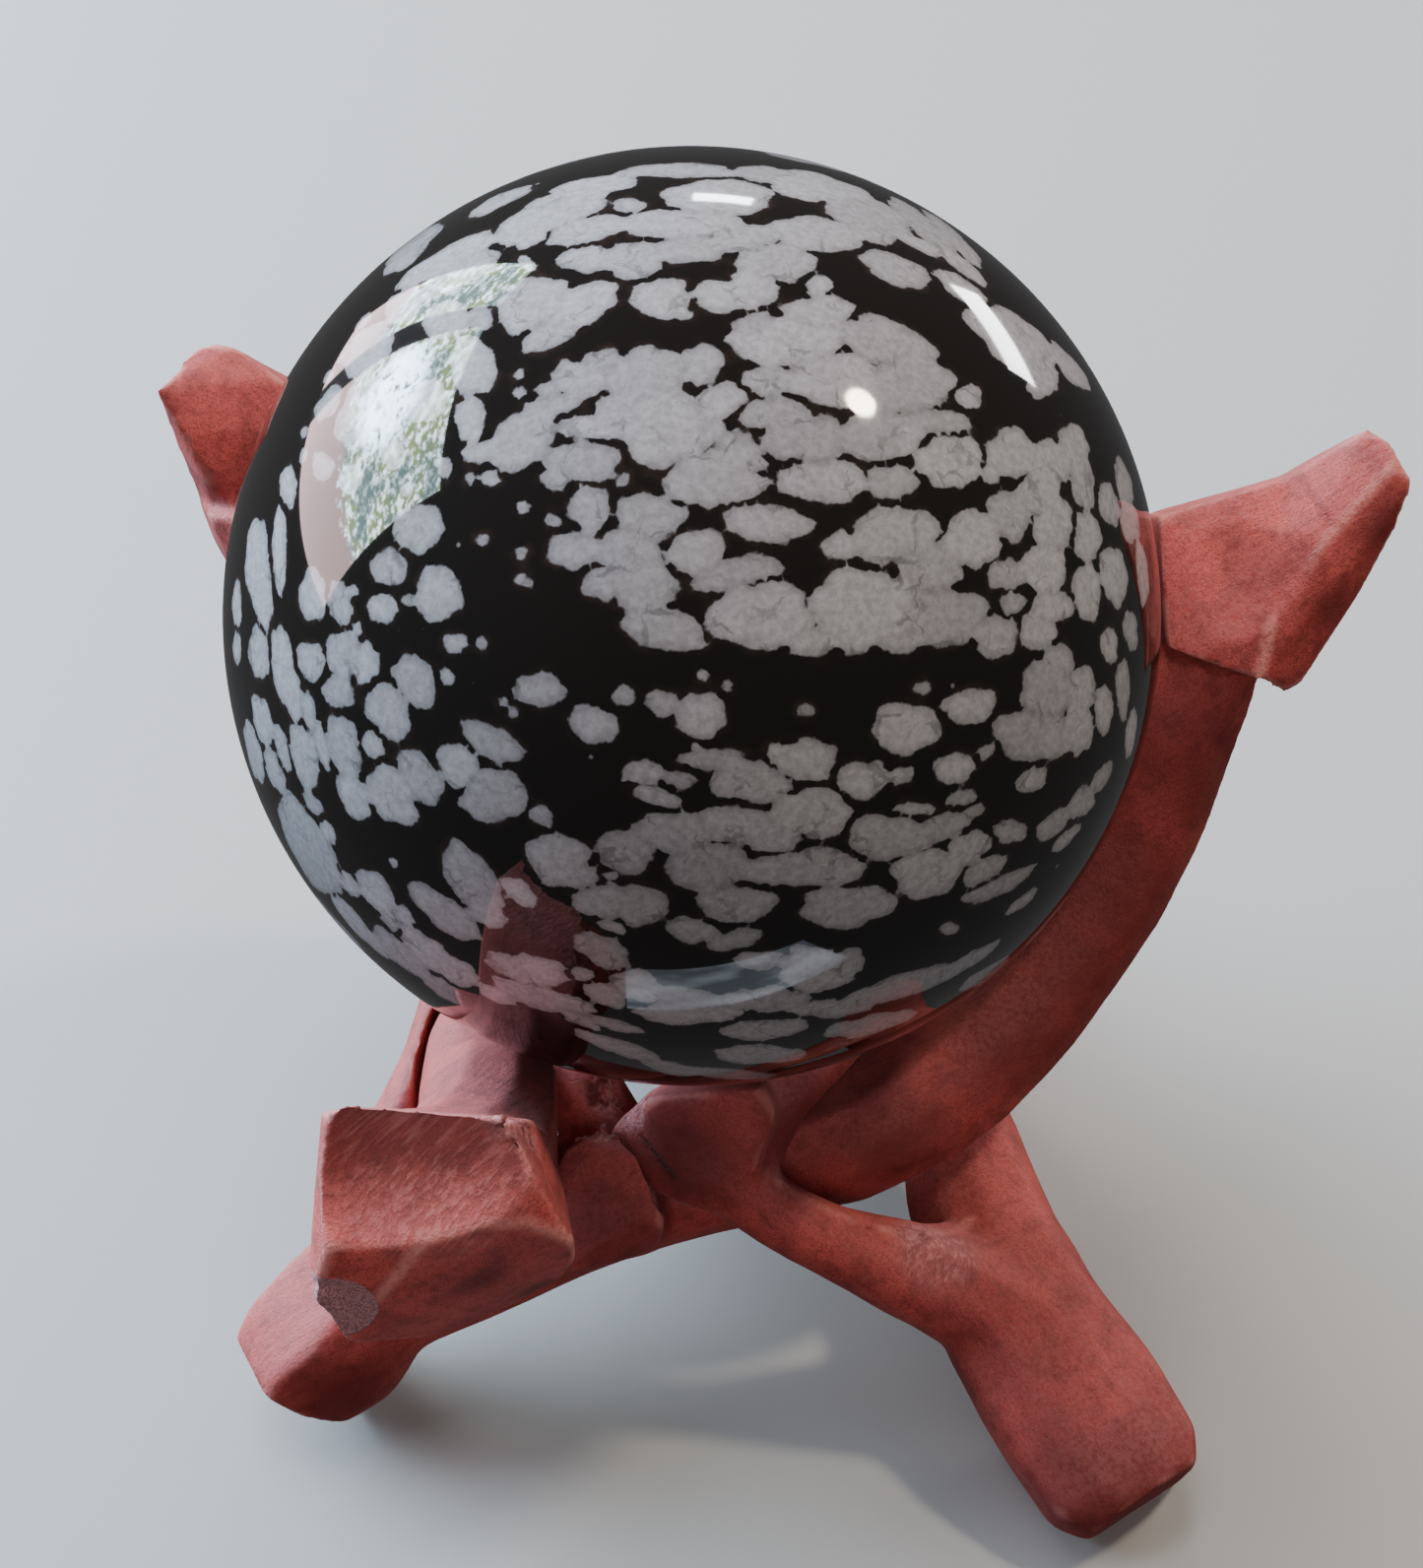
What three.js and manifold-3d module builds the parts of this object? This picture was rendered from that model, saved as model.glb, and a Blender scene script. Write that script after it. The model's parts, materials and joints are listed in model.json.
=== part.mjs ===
// Polished snowflake obsidian sphere on a folding wooden tripod.
// Millimetres, +Z up. The three legs are carved alike but not equal: each one runs from a
// horn-like head beside the ball, down and across under it, to a foot on the floor.
// On its foot side every leg opens into an eye, and the next leg passes through that eye.
import * as THREE from "three";
import { ConvexGeometry } from "three/addons/geometries/ConvexGeometry.js";
import { mergeVertices } from "three/addons/utils/BufferGeometryUtils.js";
import Module from "manifold-3d";

const wasm = await Module();
wasm.setup();

const ballRadius = 30;
const ballHeight = 54;
const ballDetail = 11;
const hollowDetail = 5;
const gap = 0.3;
const barSides = 10;
const barSteps = 28;
const stripSteps = 10;
const stripSides = 8;
const floorCut = 12;
const floorSpan = 200;
const plateRoom = 1.12;
const third = (2 * Math.PI) / 3;
const mergeDistance = 1e-4;

// Shape of the knife-cut sections: how square they are, and how unevenly their corners stand out.
const squareness = 2.8;
const corners = { first: 0.045, firstTurn: 2.3, second: 0.03, secondTurn: 3.7 };
const barLean = 0.4;
const outerLean = 1.1;
const innerLean = 2.2;
const lowBend = 22;

const ballCentre = new THREE.Vector3(0, 0, ballHeight);
const floorward = new THREE.Vector3(0, 0, -1);

// A closed surface made from three.js triangles, as a solid that can be joined and cut.
function solidOf(geometry) {
  const plain = new THREE.BufferGeometry();
  const flat = geometry.index ? geometry.toNonIndexed() : geometry;
  plain.setAttribute("position", flat.getAttribute("position").clone());
  const merged = mergeVertices(plain, mergeDistance);
  return new wasm.Manifold(
    new wasm.Mesh({
      numProp: 3,
      vertProperties: merged.getAttribute("position").array,
      triVerts: new Uint32Array(merged.index.array),
    }),
  );
}

function geometryOf(solid) {
  const mesh = solid.getMesh();
  const points = new Float32Array(mesh.numVert * 3);
  for (let i = 0; i < mesh.numVert; i += 1) {
    points.set(mesh.vertProperties.subarray(i * mesh.numProp, i * mesh.numProp + 3), i * 3);
  }
  const indexed = new THREE.BufferGeometry();
  indexed.setAttribute("position", new THREE.BufferAttribute(points, 3));
  indexed.setIndex(new THREE.BufferAttribute(new Uint32Array(mesh.triVerts), 1));
  const facets = indexed.toNonIndexed();
  facets.computeVertexNormals();
  return facets;
}

// Knife-cut section: a rounded many-sided outline whose corners stand out unevenly.
function outline(sides, lean) {
  const points = [];
  for (let i = 0; i < sides; i += 1) {
    const turn = (2 * Math.PI * (i + 0.5)) / sides;
    const c = Math.cos(turn);
    const s = Math.sin(turn);
    const square = (Math.abs(c) ** squareness + Math.abs(s) ** squareness) ** (-1 / squareness);
    const first = corners.first * Math.sin(corners.firstTurn * i + lean);
    const second = corners.second * Math.cos(corners.secondTurn * i + 2 * lean);
    const cut = 1 + first + second;
    points.push([c * square * cut, s * square * cut]);
  }
  return points;
}

// Bar carved along a bent path. A station is [x, y, z, width, height]. The height lies along
// the line to the ball's centre, so that one flank faces the ball, and near the floor it stands upright.
function bar(stations, sides, steps, lean, extra) {
  const path = new THREE.CatmullRomCurve3(
    stations.map((s) => new THREE.Vector3(s[0], s[1], s[2])),
    false,
    "centripetal",
  );
  const rings = [];
  for (let i = 0; i <= steps; i += 1) {
    const t = i / steps;
    const at = path.getPoint(t);
    const along = path.getTangent(t);
    const place = t * (stations.length - 1);
    const low = Math.min(Math.floor(place), stations.length - 2);
    const mix = place - low;
    const ease = mix * mix * (3 - 2 * mix);
    const width = THREE.MathUtils.lerp(stations[low][3], stations[low + 1][3], ease) / 2 + extra;
    const height = THREE.MathUtils.lerp(stations[low][4], stations[low + 1][4], ease) / 2 + extra;
    const down = at.clone().sub(ballCentre).normalize();
    down.lerp(floorward, THREE.MathUtils.smoothstep(-at.z, -lowBend, 0));
    down.addScaledVector(along, -down.dot(along)).normalize();
    const side = new THREE.Vector3().crossVectors(along, down);
    rings.push(
      outline(sides, lean + t).map(([u, v]) =>
        at.clone().addScaledVector(side, u * width).addScaledVector(down, v * height),
      ),
    );
  }
  const faces = [];
  const triangle = (a, b, c) => faces.push(...a.toArray(), ...b.toArray(), ...c.toArray());
  for (let i = 0; i < steps; i += 1) {
    for (let k = 0; k < sides; k += 1) {
      const next = (k + 1) % sides;
      triangle(rings[i][k], rings[i + 1][next], rings[i][next]);
      triangle(rings[i][k], rings[i + 1][k], rings[i + 1][next]);
    }
  }
  for (let k = 1; k < sides - 1; k += 1) {
    triangle(rings[0][0], rings[0][k], rings[0][k + 1]);
    triangle(rings[steps][0], rings[steps][k + 1], rings[steps][k]);
  }
  const geometry = new THREE.BufferGeometry();
  geometry.setAttribute("position", new THREE.Float32BufferAttribute(faces, 3));
  return solidOf(geometry);
}

function block(points) {
  return solidOf(new ConvexGeometry(points.map((p) => new THREE.Vector3(...p))));
}

// Every leg is described as if it were the right-hand one, and turned by thirds afterwards.
// Where the two strips of an eye meet, they widen to a plate that lies over the next leg.
const eyePlate = [
  [-9.4, 11, 21.8],
  [-8.6, 12.6, 18.8],
  [-11.6, 12, 17.4],
  [-14.8, 11.7, 17.6],
  [-17.6, 10.7, 18.2],
  [-19.8, 7.4, 20],
  [-19.4, 6.2, 22.2],
  [-11.9, 10.5, 25],
  [-14.8, 7.5, 26.7],
  [-16.4, 4, 26.6],
  [-17.4, 3.2, 24.4],
  [-8.4, 8.4, 21.4],
  [-10.8, 4.4, 24.6],
  [-12.6, 1.4, 24.4],
  [-12.8, 5.6, 17.6],
];

const rightLeg = {
  name: "right_leg",
  turn: 0,
  path: [
    [36, 8.4, 49, 8, 8],
    [33, 4, 43.2, 9.6, 9.4],
    [30.4, 0, 34.5, 9.2, 8.8],
    [25.2, -5, 26.6, 9.2, 8.6],
    [18.2, -10, 20.9, 9, 9.4],
    [11.8, -12.7, 17.8, 8.8, 8.8],
    [1.5, -12.6, 13.8, 9.8, 8.4],
    [-7, -14.4, 12.4, 9.8, 8.2],
    [-15, -18, 11.4, 9.6, 8.2],
    [-22.2, -19.6, 9.6, 11.2, 9.6],
    [-26.2, -21.8, 5.6, 10.4, 12],
    [-28.5, -23, 3, 9, 10.8],
  ],
  horn: [
    [
      [30.9, 8.2, 56],
      [39.8, 10.2, 57.8],
      [38.5, 2.7, 54],
      [31.1, 1.1, 50.4],
      [33.1, 0.1, 50.1],
      [37.4, -0.5, 48.9],
      [31, 12, 53.4],
      [40, 14, 55],
      [39, 9, 44],
      [32, 11, 44],
    ],
    [
      [39.8, 10.2, 57.8],
      [44.7, 10.9, 61.3],
      [46.3, 9.6, 60.8],
      [47.6, 7.7, 59],
      [45.9, 8, 60],
      [38.5, 2.7, 54],
      [37.4, -0.5, 48.9],
      [46.9, 6.6, 56.4],
      [44.8, 5.1, 52],
      [40.9, 1.2, 47],
      [39.6, 1, 46.2],
      [40, 14, 55],
      [44.5, 13, 59],
      [41, 9, 46],
    ],
  ],
  hollow: { at: [35.6, 4, 54.2], size: [8, 9, 14], facing: -93, rise: 53, depth: 0.9 },
  outerStrip: [
    [-24, -18.4, 8.2, 8, 8],
    [-22, -11, 12.8, 6, 6.2],
    [-19.2, -5.4, 16.8, 4.8, 5.4],
    [-17.2, 1, 19.2, 5, 5.4],
    [-15.8, 6.4, 19.8, 6.4, 6.4],
  ],
  innerStrip: [
    [-15, 6.6, 20, 6.4, 6.4],
    [-13, 0, 21.6, 5.4, 5.6],
    [-9.4, -6.6, 19.4, 5.8, 6],
    [-6, -11.6, 15, 6.4, 6.6],
    [-5, -14, 12.4, 6.4, 6.6],
  ],
  shoulder: [
    [-5.3, -13.9, 21.5],
    [-3.7, -16.7, 21.2],
    [-2.7, -18.5, 19.4],
    [-1.7, -20.1, 17.4],
    [-2.1, -19.7, 14],
    [-5.3, -20.9, 15.6],
    [-8.7, -14.1, 20.1],
    [-8.9, -16.9, 19],
    [-9.1, -19.9, 16.4],
    [-9.1, -21.7, 13],
    [-12.5, -19.8, 14.6],
    [-12, -21.1, 12],
    [-7.5, -13.1, 14],
    [-3.5, -13.1, 14],
    [-7.5, -18.1, 11],
    [-2.5, -18.1, 11],
  ],
};

const backLeg = {
  name: "back_leg",
  turn: third,
  path: [
    [32, 16.6, 51, 9.4, 9],
    [29.8, 15.2, 44, 9.4, 9.2],
    [29, 9, 34, 9.6, 9],
    [25.4, -1, 26, 9.6, 9],
    [19.6, -8.6, 20, 9.6, 9],
    [12.6, -13, 17, 9.6, 9],
    [1.5, -12.6, 13.8, 9.6, 8.6],
    [-7, -14.2, 12, 9.6, 8.8],
    [-14, -13.7, 10.8, 8.6, 8.6],
    [-22.1, -11, 9.6, 10.2, 9.2],
    [-29.2, -9, 8.6, 12.4, 10.2],
    [-37, -9.4, 5.4, 13.6, 11],
    [-42, -9.8, 3.2, 13, 11],
    [-44.3, -10, 2.4, 9.6, 9.4],
  ],
  horn: [
    [
      [33.5, 22.9, 60],
      [36.3, 18.7, 60.3],
      [36.9, 17.1, 60],
      [35.5, 15.9, 60],
      [32.7, 13.7, 58],
      [31.8, 21.8, 57],
      [31.2, 21, 53],
      [30, 12, 54],
      [29.8, 19, 50],
      [36.4, 16, 53],
      [34.6, 20.4, 51],
      [31.4, 10.4, 47],
      [36.4, 11.4, 55],
      [33.8, 9.2, 50],
      [35.6, 11, 46.4],
      [34, 20, 46],
    ],
  ],
  web: [
    [-24.8, 0.2, 17.3],
    [-28.1, -5.5, 15],
    [-24.5, -1.2, 10.9],
    [-28.7, -3.5, 8.5],
    [-22.3, -2.4, 14.7],
    [-23.8, -9, 12.6],
    [-27.8, -8, 11.3],
  ],
  outerStrip: [
    [-30, -7.6, 9.4, 9, 8],
    [-25.8, -2.4, 12.8, 7.4, 7],
    [-22.4, 2.4, 15.6, 5, 5.4],
    [-19.3, 5.6, 18, 4.8, 5.2],
    [-15.2, 7.6, 19.8, 6.4, 6.6],
  ],
  innerStrip: [
    [-15.8, 7, 20, 6.4, 6.4],
    [-13.6, -0.4, 21.8, 5.4, 5.6],
    [-11.3, -7.6, 20, 5.6, 6],
    [-8.6, -13, 15.4, 6.4, 6.6],
    [-7.6, -15, 12.4, 6.4, 6.6],
  ],
};

const frontLeg = {
  name: "front_leg",
  turn: 2 * third,
  path: [
    [39.4, 5.8, 41.6, 9, 9],
    [37, 4.4, 37.4, 11, 12],
    [31, 1.8, 31.6, 10.6, 12],
    [23.8, -2.4, 26.8, 9.6, 12],
    [18, -7, 20.4, 9.2, 9.4],
    [11.2, -10.6, 17.4, 9.2, 8.6],
    [0.8, -11.4, 14, 9.4, 8.4],
    [-7, -14, 12, 9.6, 8.8],
    [-15.2, -17.4, 10.8, 10.4, 9.2],
    [-23, -17.4, 8.4, 11, 10.2],
    [-30, -18, 4.8, 11.4, 10.8],
    [-34, -18.4, 2.6, 9.6, 9.8],
  ],
  horn: [
    [
      [43.1, 0.5, 50.2],
      [44.9, 4, 54.5],
      [39.5, 10.6, 51.6],
      [45, 1.2, 42.6],
      [47, 4.4, 47.7],
      [47, 1.4, 40.4],
      [48.1, 3.4, 43],
      [48.9, 2.8, 40],
      [47.8, 4.4, 36],
      [46.8, 6.2, 40],
      [44.4, 8, 44.4],
      [42.7, 10.1, 45.2],
      [40.1, 12.3, 43.9],
      [37.8, 13.9, 40.5],
      [37.2, 13.6, 38],
      [36.4, 11.9, 34],
      [43.2, 5.9, 32],
      [38, 9.3, 31.5],
      [38, 2.5, 45.8],
      [34.6, 0.7, 41.6],
      [32.8, 5.2, 41.6],
      [31.6, 7.6, 41.6],
      [30.5, -2.4, 35.6],
      [28.7, 2.2, 35.6],
      [28.2, 6.2, 35.6],
      [39.6, -1.6, 40],
      [36, -2.6, 33],
      [34, 1.5, 30],
    ],
  ],
  hollow: { at: [42.3, 8.4, 48.5], size: [7, 16, 6.2], facing: 32, rise: 23, depth: 2 },
  outerStrip: [
    [-26.4, -15.6, 8.2, 8.4, 8],
    [-25.4, -8.6, 12, 7, 7],
    [-22, -1.4, 17, 6, 6.2],
    [-18.8, 3.8, 19.2, 6, 6.2],
    [-15.4, 7.2, 19.8, 6.4, 6.4],
  ],
  innerStrip: [
    [-15.4, 6.8, 20, 6.4, 6.4],
    [-13.4, -0.2, 21.6, 5.4, 5.6],
    [-10.6, -7.2, 19.8, 5.8, 6],
    [-7.6, -12.4, 15.2, 6.4, 6.6],
    [-6.6, -14.6, 12.4, 6.4, 6.6],
  ],
};

const ballSeat = solidOf(new THREE.IcosahedronGeometry(ballRadius + gap, ballDetail)).translate([
  0,
  0,
  ballHeight,
]);

const floorBlock = solidOf(
  new THREE.BoxGeometry(floorSpan, floorSpan, floorCut).translate(0, 0, -floorCut / 2),
);

function passingBar(leg, extra) {
  return bar(leg.path, barSides, barSteps, barLean + leg.turn, extra);
}

// The eye: two strips that leave the bar on its foot side and meet in a plate above the next leg.
function eye(leg) {
  const outer = bar(leg.outerStrip, stripSides, stripSteps, outerLean, 0);
  const inner = bar(leg.innerStrip, stripSides, stripSteps, innerLean, 0);
  const ring = outer.add(inner).add(block(eyePlate));
  return leg.web ? ring.add(block(leg.web)) : ring;
}

// The hollow that a curved knife leaves in the face of a head: size is [deep, across, along].
function hollow({ at, size, facing, rise, depth }) {
  const turn = THREE.MathUtils.degToRad(facing);
  const lift = THREE.MathUtils.degToRad(rise);
  const outward = new THREE.Vector3(
    Math.cos(lift) * Math.cos(turn),
    Math.cos(lift) * Math.sin(turn),
    Math.sin(lift),
  );
  const centre = new THREE.Vector3(...at).addScaledVector(outward, size[0] - depth);
  const knife = new THREE.IcosahedronGeometry(1, hollowDetail).scale(...size);
  return solidOf(knife.rotateY(-lift).rotateZ(turn).translate(centre.x, centre.y, centre.z));
}

function horn(leg) {
  const blocks = leg.horn.map(block).reduce((joined, part) => joined.add(part));
  return leg.hollow ? blocks.subtract(hollow(leg.hollow)) : blocks;
}

function turned(solid, angle) {
  return solid.rotate([0, 0, (angle * 180) / Math.PI]);
}

// A swelling that stands flush beside the plate that lies over this leg, clear of it all round.
function shoulder(leg, over) {
  const middle = new THREE.Vector3();
  eyePlate.forEach((point) => middle.add(new THREE.Vector3(...point)));
  middle.divideScalar(eyePlate.length);
  const grown = eyePlate.map((point) =>
    new THREE.Vector3(...point).sub(middle).multiplyScalar(plateRoom).add(middle).toArray(),
  );
  return turned(block(leg.shoulder), leg.turn).subtract(turned(block(grown), over.turn));
}

function carve(leg, through, over) {
  const whole = turned(passingBar(leg, 0).add(horn(leg)).add(eye(leg)), leg.turn);
  const swollen = leg.shoulder ? whole.add(shoulder(leg, over)) : whole;
  const tunnel = turned(passingBar(through, gap).add(horn(through)), through.turn);
  return swollen.subtract(tunnel).subtract(ballSeat).subtract(floorBlock);
}

const carved = [
  [rightLeg, carve(rightLeg, frontLeg, backLeg)],
  [backLeg, carve(backLeg, rightLeg, frontLeg)],
  [frontLeg, carve(frontLeg, backLeg, rightLeg)],
];

const root = new THREE.Group();
root.name = "snowflake_obsidian_sphere";

const stone = new THREE.MeshStandardMaterial({ color: 0x26221f, roughness: 0.08, metalness: 0 });
const ball = new THREE.Mesh(
  new THREE.IcosahedronGeometry(ballRadius, ballDetail).translate(0, 0, ballHeight),
  stone,
);
ball.name = "obsidian_sphere";
root.add(ball);

for (const [leg, solid] of carved) {
  const wood = new THREE.MeshStandardMaterial({ color: 0xa2483c, roughness: 0.85, metalness: 0 });
  const pieces = solid.decompose().sort((a, b) => b.volume() - a.volume());
  const mesh = new THREE.Mesh(geometryOf(pieces[0]), wood);
  mesh.name = leg.name;
  root.add(mesh);
}

// The origin lies on the floor, under the middle of the whole.
const extent = new THREE.Box3().setFromObject(root);
const middle = extent.getCenter(new THREE.Vector3());
for (const mesh of root.children) {
  mesh.position.set(-middle.x, -middle.y, -extent.min.z);
}

export default root;
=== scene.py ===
import json
import math
import bpy
import numpy as np
from mathutils import Euler, Matrix, Vector

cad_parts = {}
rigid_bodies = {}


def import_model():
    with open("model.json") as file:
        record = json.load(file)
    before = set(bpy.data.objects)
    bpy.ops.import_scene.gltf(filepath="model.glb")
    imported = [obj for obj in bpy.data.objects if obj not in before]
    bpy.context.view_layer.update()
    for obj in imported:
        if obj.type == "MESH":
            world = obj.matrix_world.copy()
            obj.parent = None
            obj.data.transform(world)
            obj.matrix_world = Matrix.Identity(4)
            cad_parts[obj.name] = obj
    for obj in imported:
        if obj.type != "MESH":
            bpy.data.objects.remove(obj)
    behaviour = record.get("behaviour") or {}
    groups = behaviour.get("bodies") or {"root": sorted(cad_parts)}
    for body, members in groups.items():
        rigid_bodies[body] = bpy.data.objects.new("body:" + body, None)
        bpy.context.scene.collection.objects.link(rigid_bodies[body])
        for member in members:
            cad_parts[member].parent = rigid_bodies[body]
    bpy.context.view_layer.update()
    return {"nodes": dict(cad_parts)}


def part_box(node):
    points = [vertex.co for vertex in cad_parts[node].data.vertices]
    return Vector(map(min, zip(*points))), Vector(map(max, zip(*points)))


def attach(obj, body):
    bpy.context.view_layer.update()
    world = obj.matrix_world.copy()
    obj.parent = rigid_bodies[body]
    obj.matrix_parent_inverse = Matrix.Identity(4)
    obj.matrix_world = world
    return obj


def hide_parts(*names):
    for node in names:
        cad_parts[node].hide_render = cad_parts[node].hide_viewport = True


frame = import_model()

mm = 0.001
ballLow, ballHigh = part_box("obsidian_sphere")
ballMiddle = (ballLow + ballHigh) / 2

view = {
    "distance": 180 * mm,      # lens to the middle of the ball
    "height": 40.0,            # degrees above the table
    "lens": 70.2,              # mm, as the sensor's width
    "sensor": 36,
    "aimRight": 1.18 * mm,     # the lens points a little beside and below the ball's middle
    "aimBelow": 10.6 * mm,
    "nearest": 0.005,          # nothing nearer or further than this is seen, in m
    "furthest": 20,
}
lookDown = math.radians(view["height"])
backwards = Vector((0, -math.cos(lookDown), math.sin(lookDown)))
upwards = Vector((0, math.sin(lookDown), math.cos(lookDown)))
eye = ballMiddle + backwards * view["distance"]
aim = ballMiddle + Vector((view["aimRight"], 0, 0)) - upwards * view["aimBelow"]
camera = bpy.data.objects.new("camera", bpy.data.cameras.new("camera"))
bpy.context.scene.collection.objects.link(camera)
camera.data.sensor_fit = "HORIZONTAL"
camera.data.sensor_width = view["sensor"]
camera.data.lens = view["lens"]
camera.data.clip_start = view["nearest"]
camera.data.clip_end = view["furthest"]
camera.location = eye
camera.rotation_euler = (aim - eye).to_track_quat("-Z", "Y").to_euler()
bpy.context.scene.camera = camera
print("camera placed")


# small helpers for building shader trees
def feed(tree, value, socket):
    if isinstance(value, bpy.types.NodeSocket):
        tree.links.new(value, socket)
    elif value is not None:
        socket.default_value = value


def mathOf(tree, operation, *values):
    node = tree.nodes.new("ShaderNodeMath")
    node.operation = operation
    for value, socket in zip(values, node.inputs):
        feed(tree, value, socket)
    return node.outputs[0]


def productOf(tree, first, second):
    return mathOf(tree, "MULTIPLY", first, second)


def vectorOf(tree, operation, *values, scale=None):
    node = tree.nodes.new("ShaderNodeVectorMath")
    node.operation = operation
    for value, socket in zip(values, node.inputs):
        feed(tree, value, socket)
    if scale is not None:
        feed(tree, scale, node.inputs["Scale"])
    return node.outputs["Vector"]


def noiseOf(tree, place, scale, detail=2.0, rough=0.5, colour=False):
    node = tree.nodes.new("ShaderNodeTexNoise")
    feed(tree, place, node.inputs["Vector"])
    feed(tree, scale, node.inputs["Scale"])
    node.inputs["Detail"].default_value = detail
    node.inputs["Roughness"].default_value = rough
    return node.outputs["Color" if colour else "Fac"]


def rangeOf(tree, value, low, high, toLow=0.0, toHigh=1.0, smooth=True):
    node = tree.nodes.new("ShaderNodeMapRange")
    node.interpolation_type = "SMOOTHSTEP" if smooth else "LINEAR"
    limits = {"Value": value, "From Min": low, "From Max": high, "To Min": toLow, "To Max": toHigh}
    for name, number in limits.items():
        feed(tree, number, node.inputs[name])
    return node.outputs["Result"]


def mixOf(tree, amount, first, second, blend="MIX"):
    node = tree.nodes.new("ShaderNodeMix")
    node.data_type = "RGBA"
    node.blend_type = blend
    feed(tree, amount, node.inputs["Factor"])
    feed(tree, first, node.inputs[6])     # the colour pair of the mix node
    feed(tree, second, node.inputs[7])
    return node.outputs[2]


def fromMesh(tree, name):
    node = tree.nodes.new("ShaderNodeAttribute")
    node.attribute_name = name
    return node.outputs["Fac"]


def separate(tree, vector):
    node = tree.nodes.new("ShaderNodeSeparateXYZ")
    feed(tree, vector, node.inputs["Vector"])
    return node.outputs


def newGroup(name, inputs, outputs):
    tree = bpy.data.node_groups.new(name, "ShaderNodeTree")
    for label, kind, value in inputs:
        socket = tree.interface.new_socket(label, in_out="INPUT", socket_type="NodeSocket" + kind)
        if value is not None:
            socket.default_value = value
    for label, kind in outputs:
        tree.interface.new_socket(label, in_out="OUTPUT", socket_type="NodeSocket" + kind)
    given = tree.nodes.new("NodeGroupInput")
    result = tree.nodes.new("NodeGroupOutput")
    return tree, given.outputs, result.inputs


def placeGroup(tree, group, **values):
    node = tree.nodes.new("ShaderNodeGroup")
    node.node_tree = group
    for label, value in values.items():
        feed(tree, value, node.inputs[label])
    return node.outputs


def newMaterial(name):
    material = bpy.data.materials.new(name)
    material.use_nodes = True
    return material, material.node_tree, material.node_tree.nodes["Principled BSDF"]


def deselectAll():
    if bpy.context.object and bpy.context.object.mode != "OBJECT":
        bpy.ops.object.mode_set(mode="OBJECT")
    bpy.ops.object.select_all(action="DESELECT")


def workOn(piece):
    deselectAll()
    piece.select_set(True)
    bpy.context.view_layer.objects.active = piece


def applyModifiers(piece):
    workOn(piece)
    for modifier in list(piece.modifiers):
        bpy.ops.object.modifier_apply(modifier=modifier.name)


def keepOnMesh(piece, name, values):
    layer = piece.data.attributes.new(name, "FLOAT", "POINT")
    layer.data.foreach_set("value", np.asarray(values, np.float32))


def pointsOf(piece):
    places = np.empty(len(piece.data.vertices) * 3)
    piece.data.vertices.foreach_get("co", places)
    return places.reshape(-1, 3)


ballLook = {
    "radius": 29.98,               # mm, as all the lengths here; a grain is a count per mm
    "subdivisions": 6,
    "furtherCuts": 2,
    "polishWave": 0.03,            # how far hand polishing leaves it out of round
    "waveWidth": 20,
    "seedOfFlakes": 11,            # for the flakes that grow by chance
    "triesForFlakes": 1500,
    "longestSeen": 5.2,            # half lengths: flakes at the rim aren't stretched further
    "shortest": 0.45,
    "longer": 2.6,
    "slimmest": 0.5,               # widths as shares of the lengths
    "wider": 0.45,
    "tilt": 22,                    # degrees
    "seenFrom": 0.2,               # cosine of how far round the ball the eye sees
    "hiddenPatch": (-0.60, -0.19, 0.78),
    "hiddenFrom": 0.955,
    "apart": 0.9,                  # from one middle to the next, and more for a wide flake
    "apartByWidth": 0.75,
    "turnedAway": 0.93,            # share of the flakes that don't grow in clear glass
    "leastFlake": 0.32,            # smaller ones would fall between the mesh points
    "clearOfFlakes": -1.5,         # the depth that glass well away from every flake has
    "flakeSwell": 1.04,
    "lobes": [(3, 0.06), (5, 0.05), (8, 0.035)],    # how many round a flake, and how far they stand out
    "notch": 0.26,                 # how deep the edges stay notched where two flakes meet
    "notchFalloff": 0.9,
    "notchFrom": -0.3,
    "crumbled": 0.42,              # how far a flake's edge wanders
    "crumbGrain": 1.25,
    "fineCrumbGrain": 3.6,
    "jointGrain": 0.42,            # the thin lines between flakes that grew together
    "jointBendGrain": 1.3,
    "jointBend": 1.1,
    "jointOpenGrain": 0.55,
    "jointShade": 0.62,
    "inDeepFlakes": 0.8,           # how much of a flake's colour a joint keeps there at least
    "speckGrain": 5.5,
    "speckShade": 0.65,
    "mottleGrain": 2.2,
    "rimShade": 0.72,
    "rimWidth": 0.7,
    "brownGrain": 0.5,
    "brownWidth": 0.5,
    "brownMost": 0.75,
    "dotGrain": 0.55,              # crystal dots strewn thinly through the dark glass
    "dotFrom": 0.80,               # only one place in five has one
    "dotSize": 0.10,
    "dotStrength": 0.55,
    "flakeColour": (0.365, 0.352, 0.362, 1),
    "flakeShade": (0.262, 0.250, 0.256, 1),
    "betweenFlakes": (0.026, 0.016, 0.013, 1),
    "glassColour": (0.0090, 0.0074, 0.0064, 1),
    "gloss": 0.03,                 # roughness of the dark glass
    "flakeGloss": 0.06,
    "ior": 1.49,
}

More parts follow.
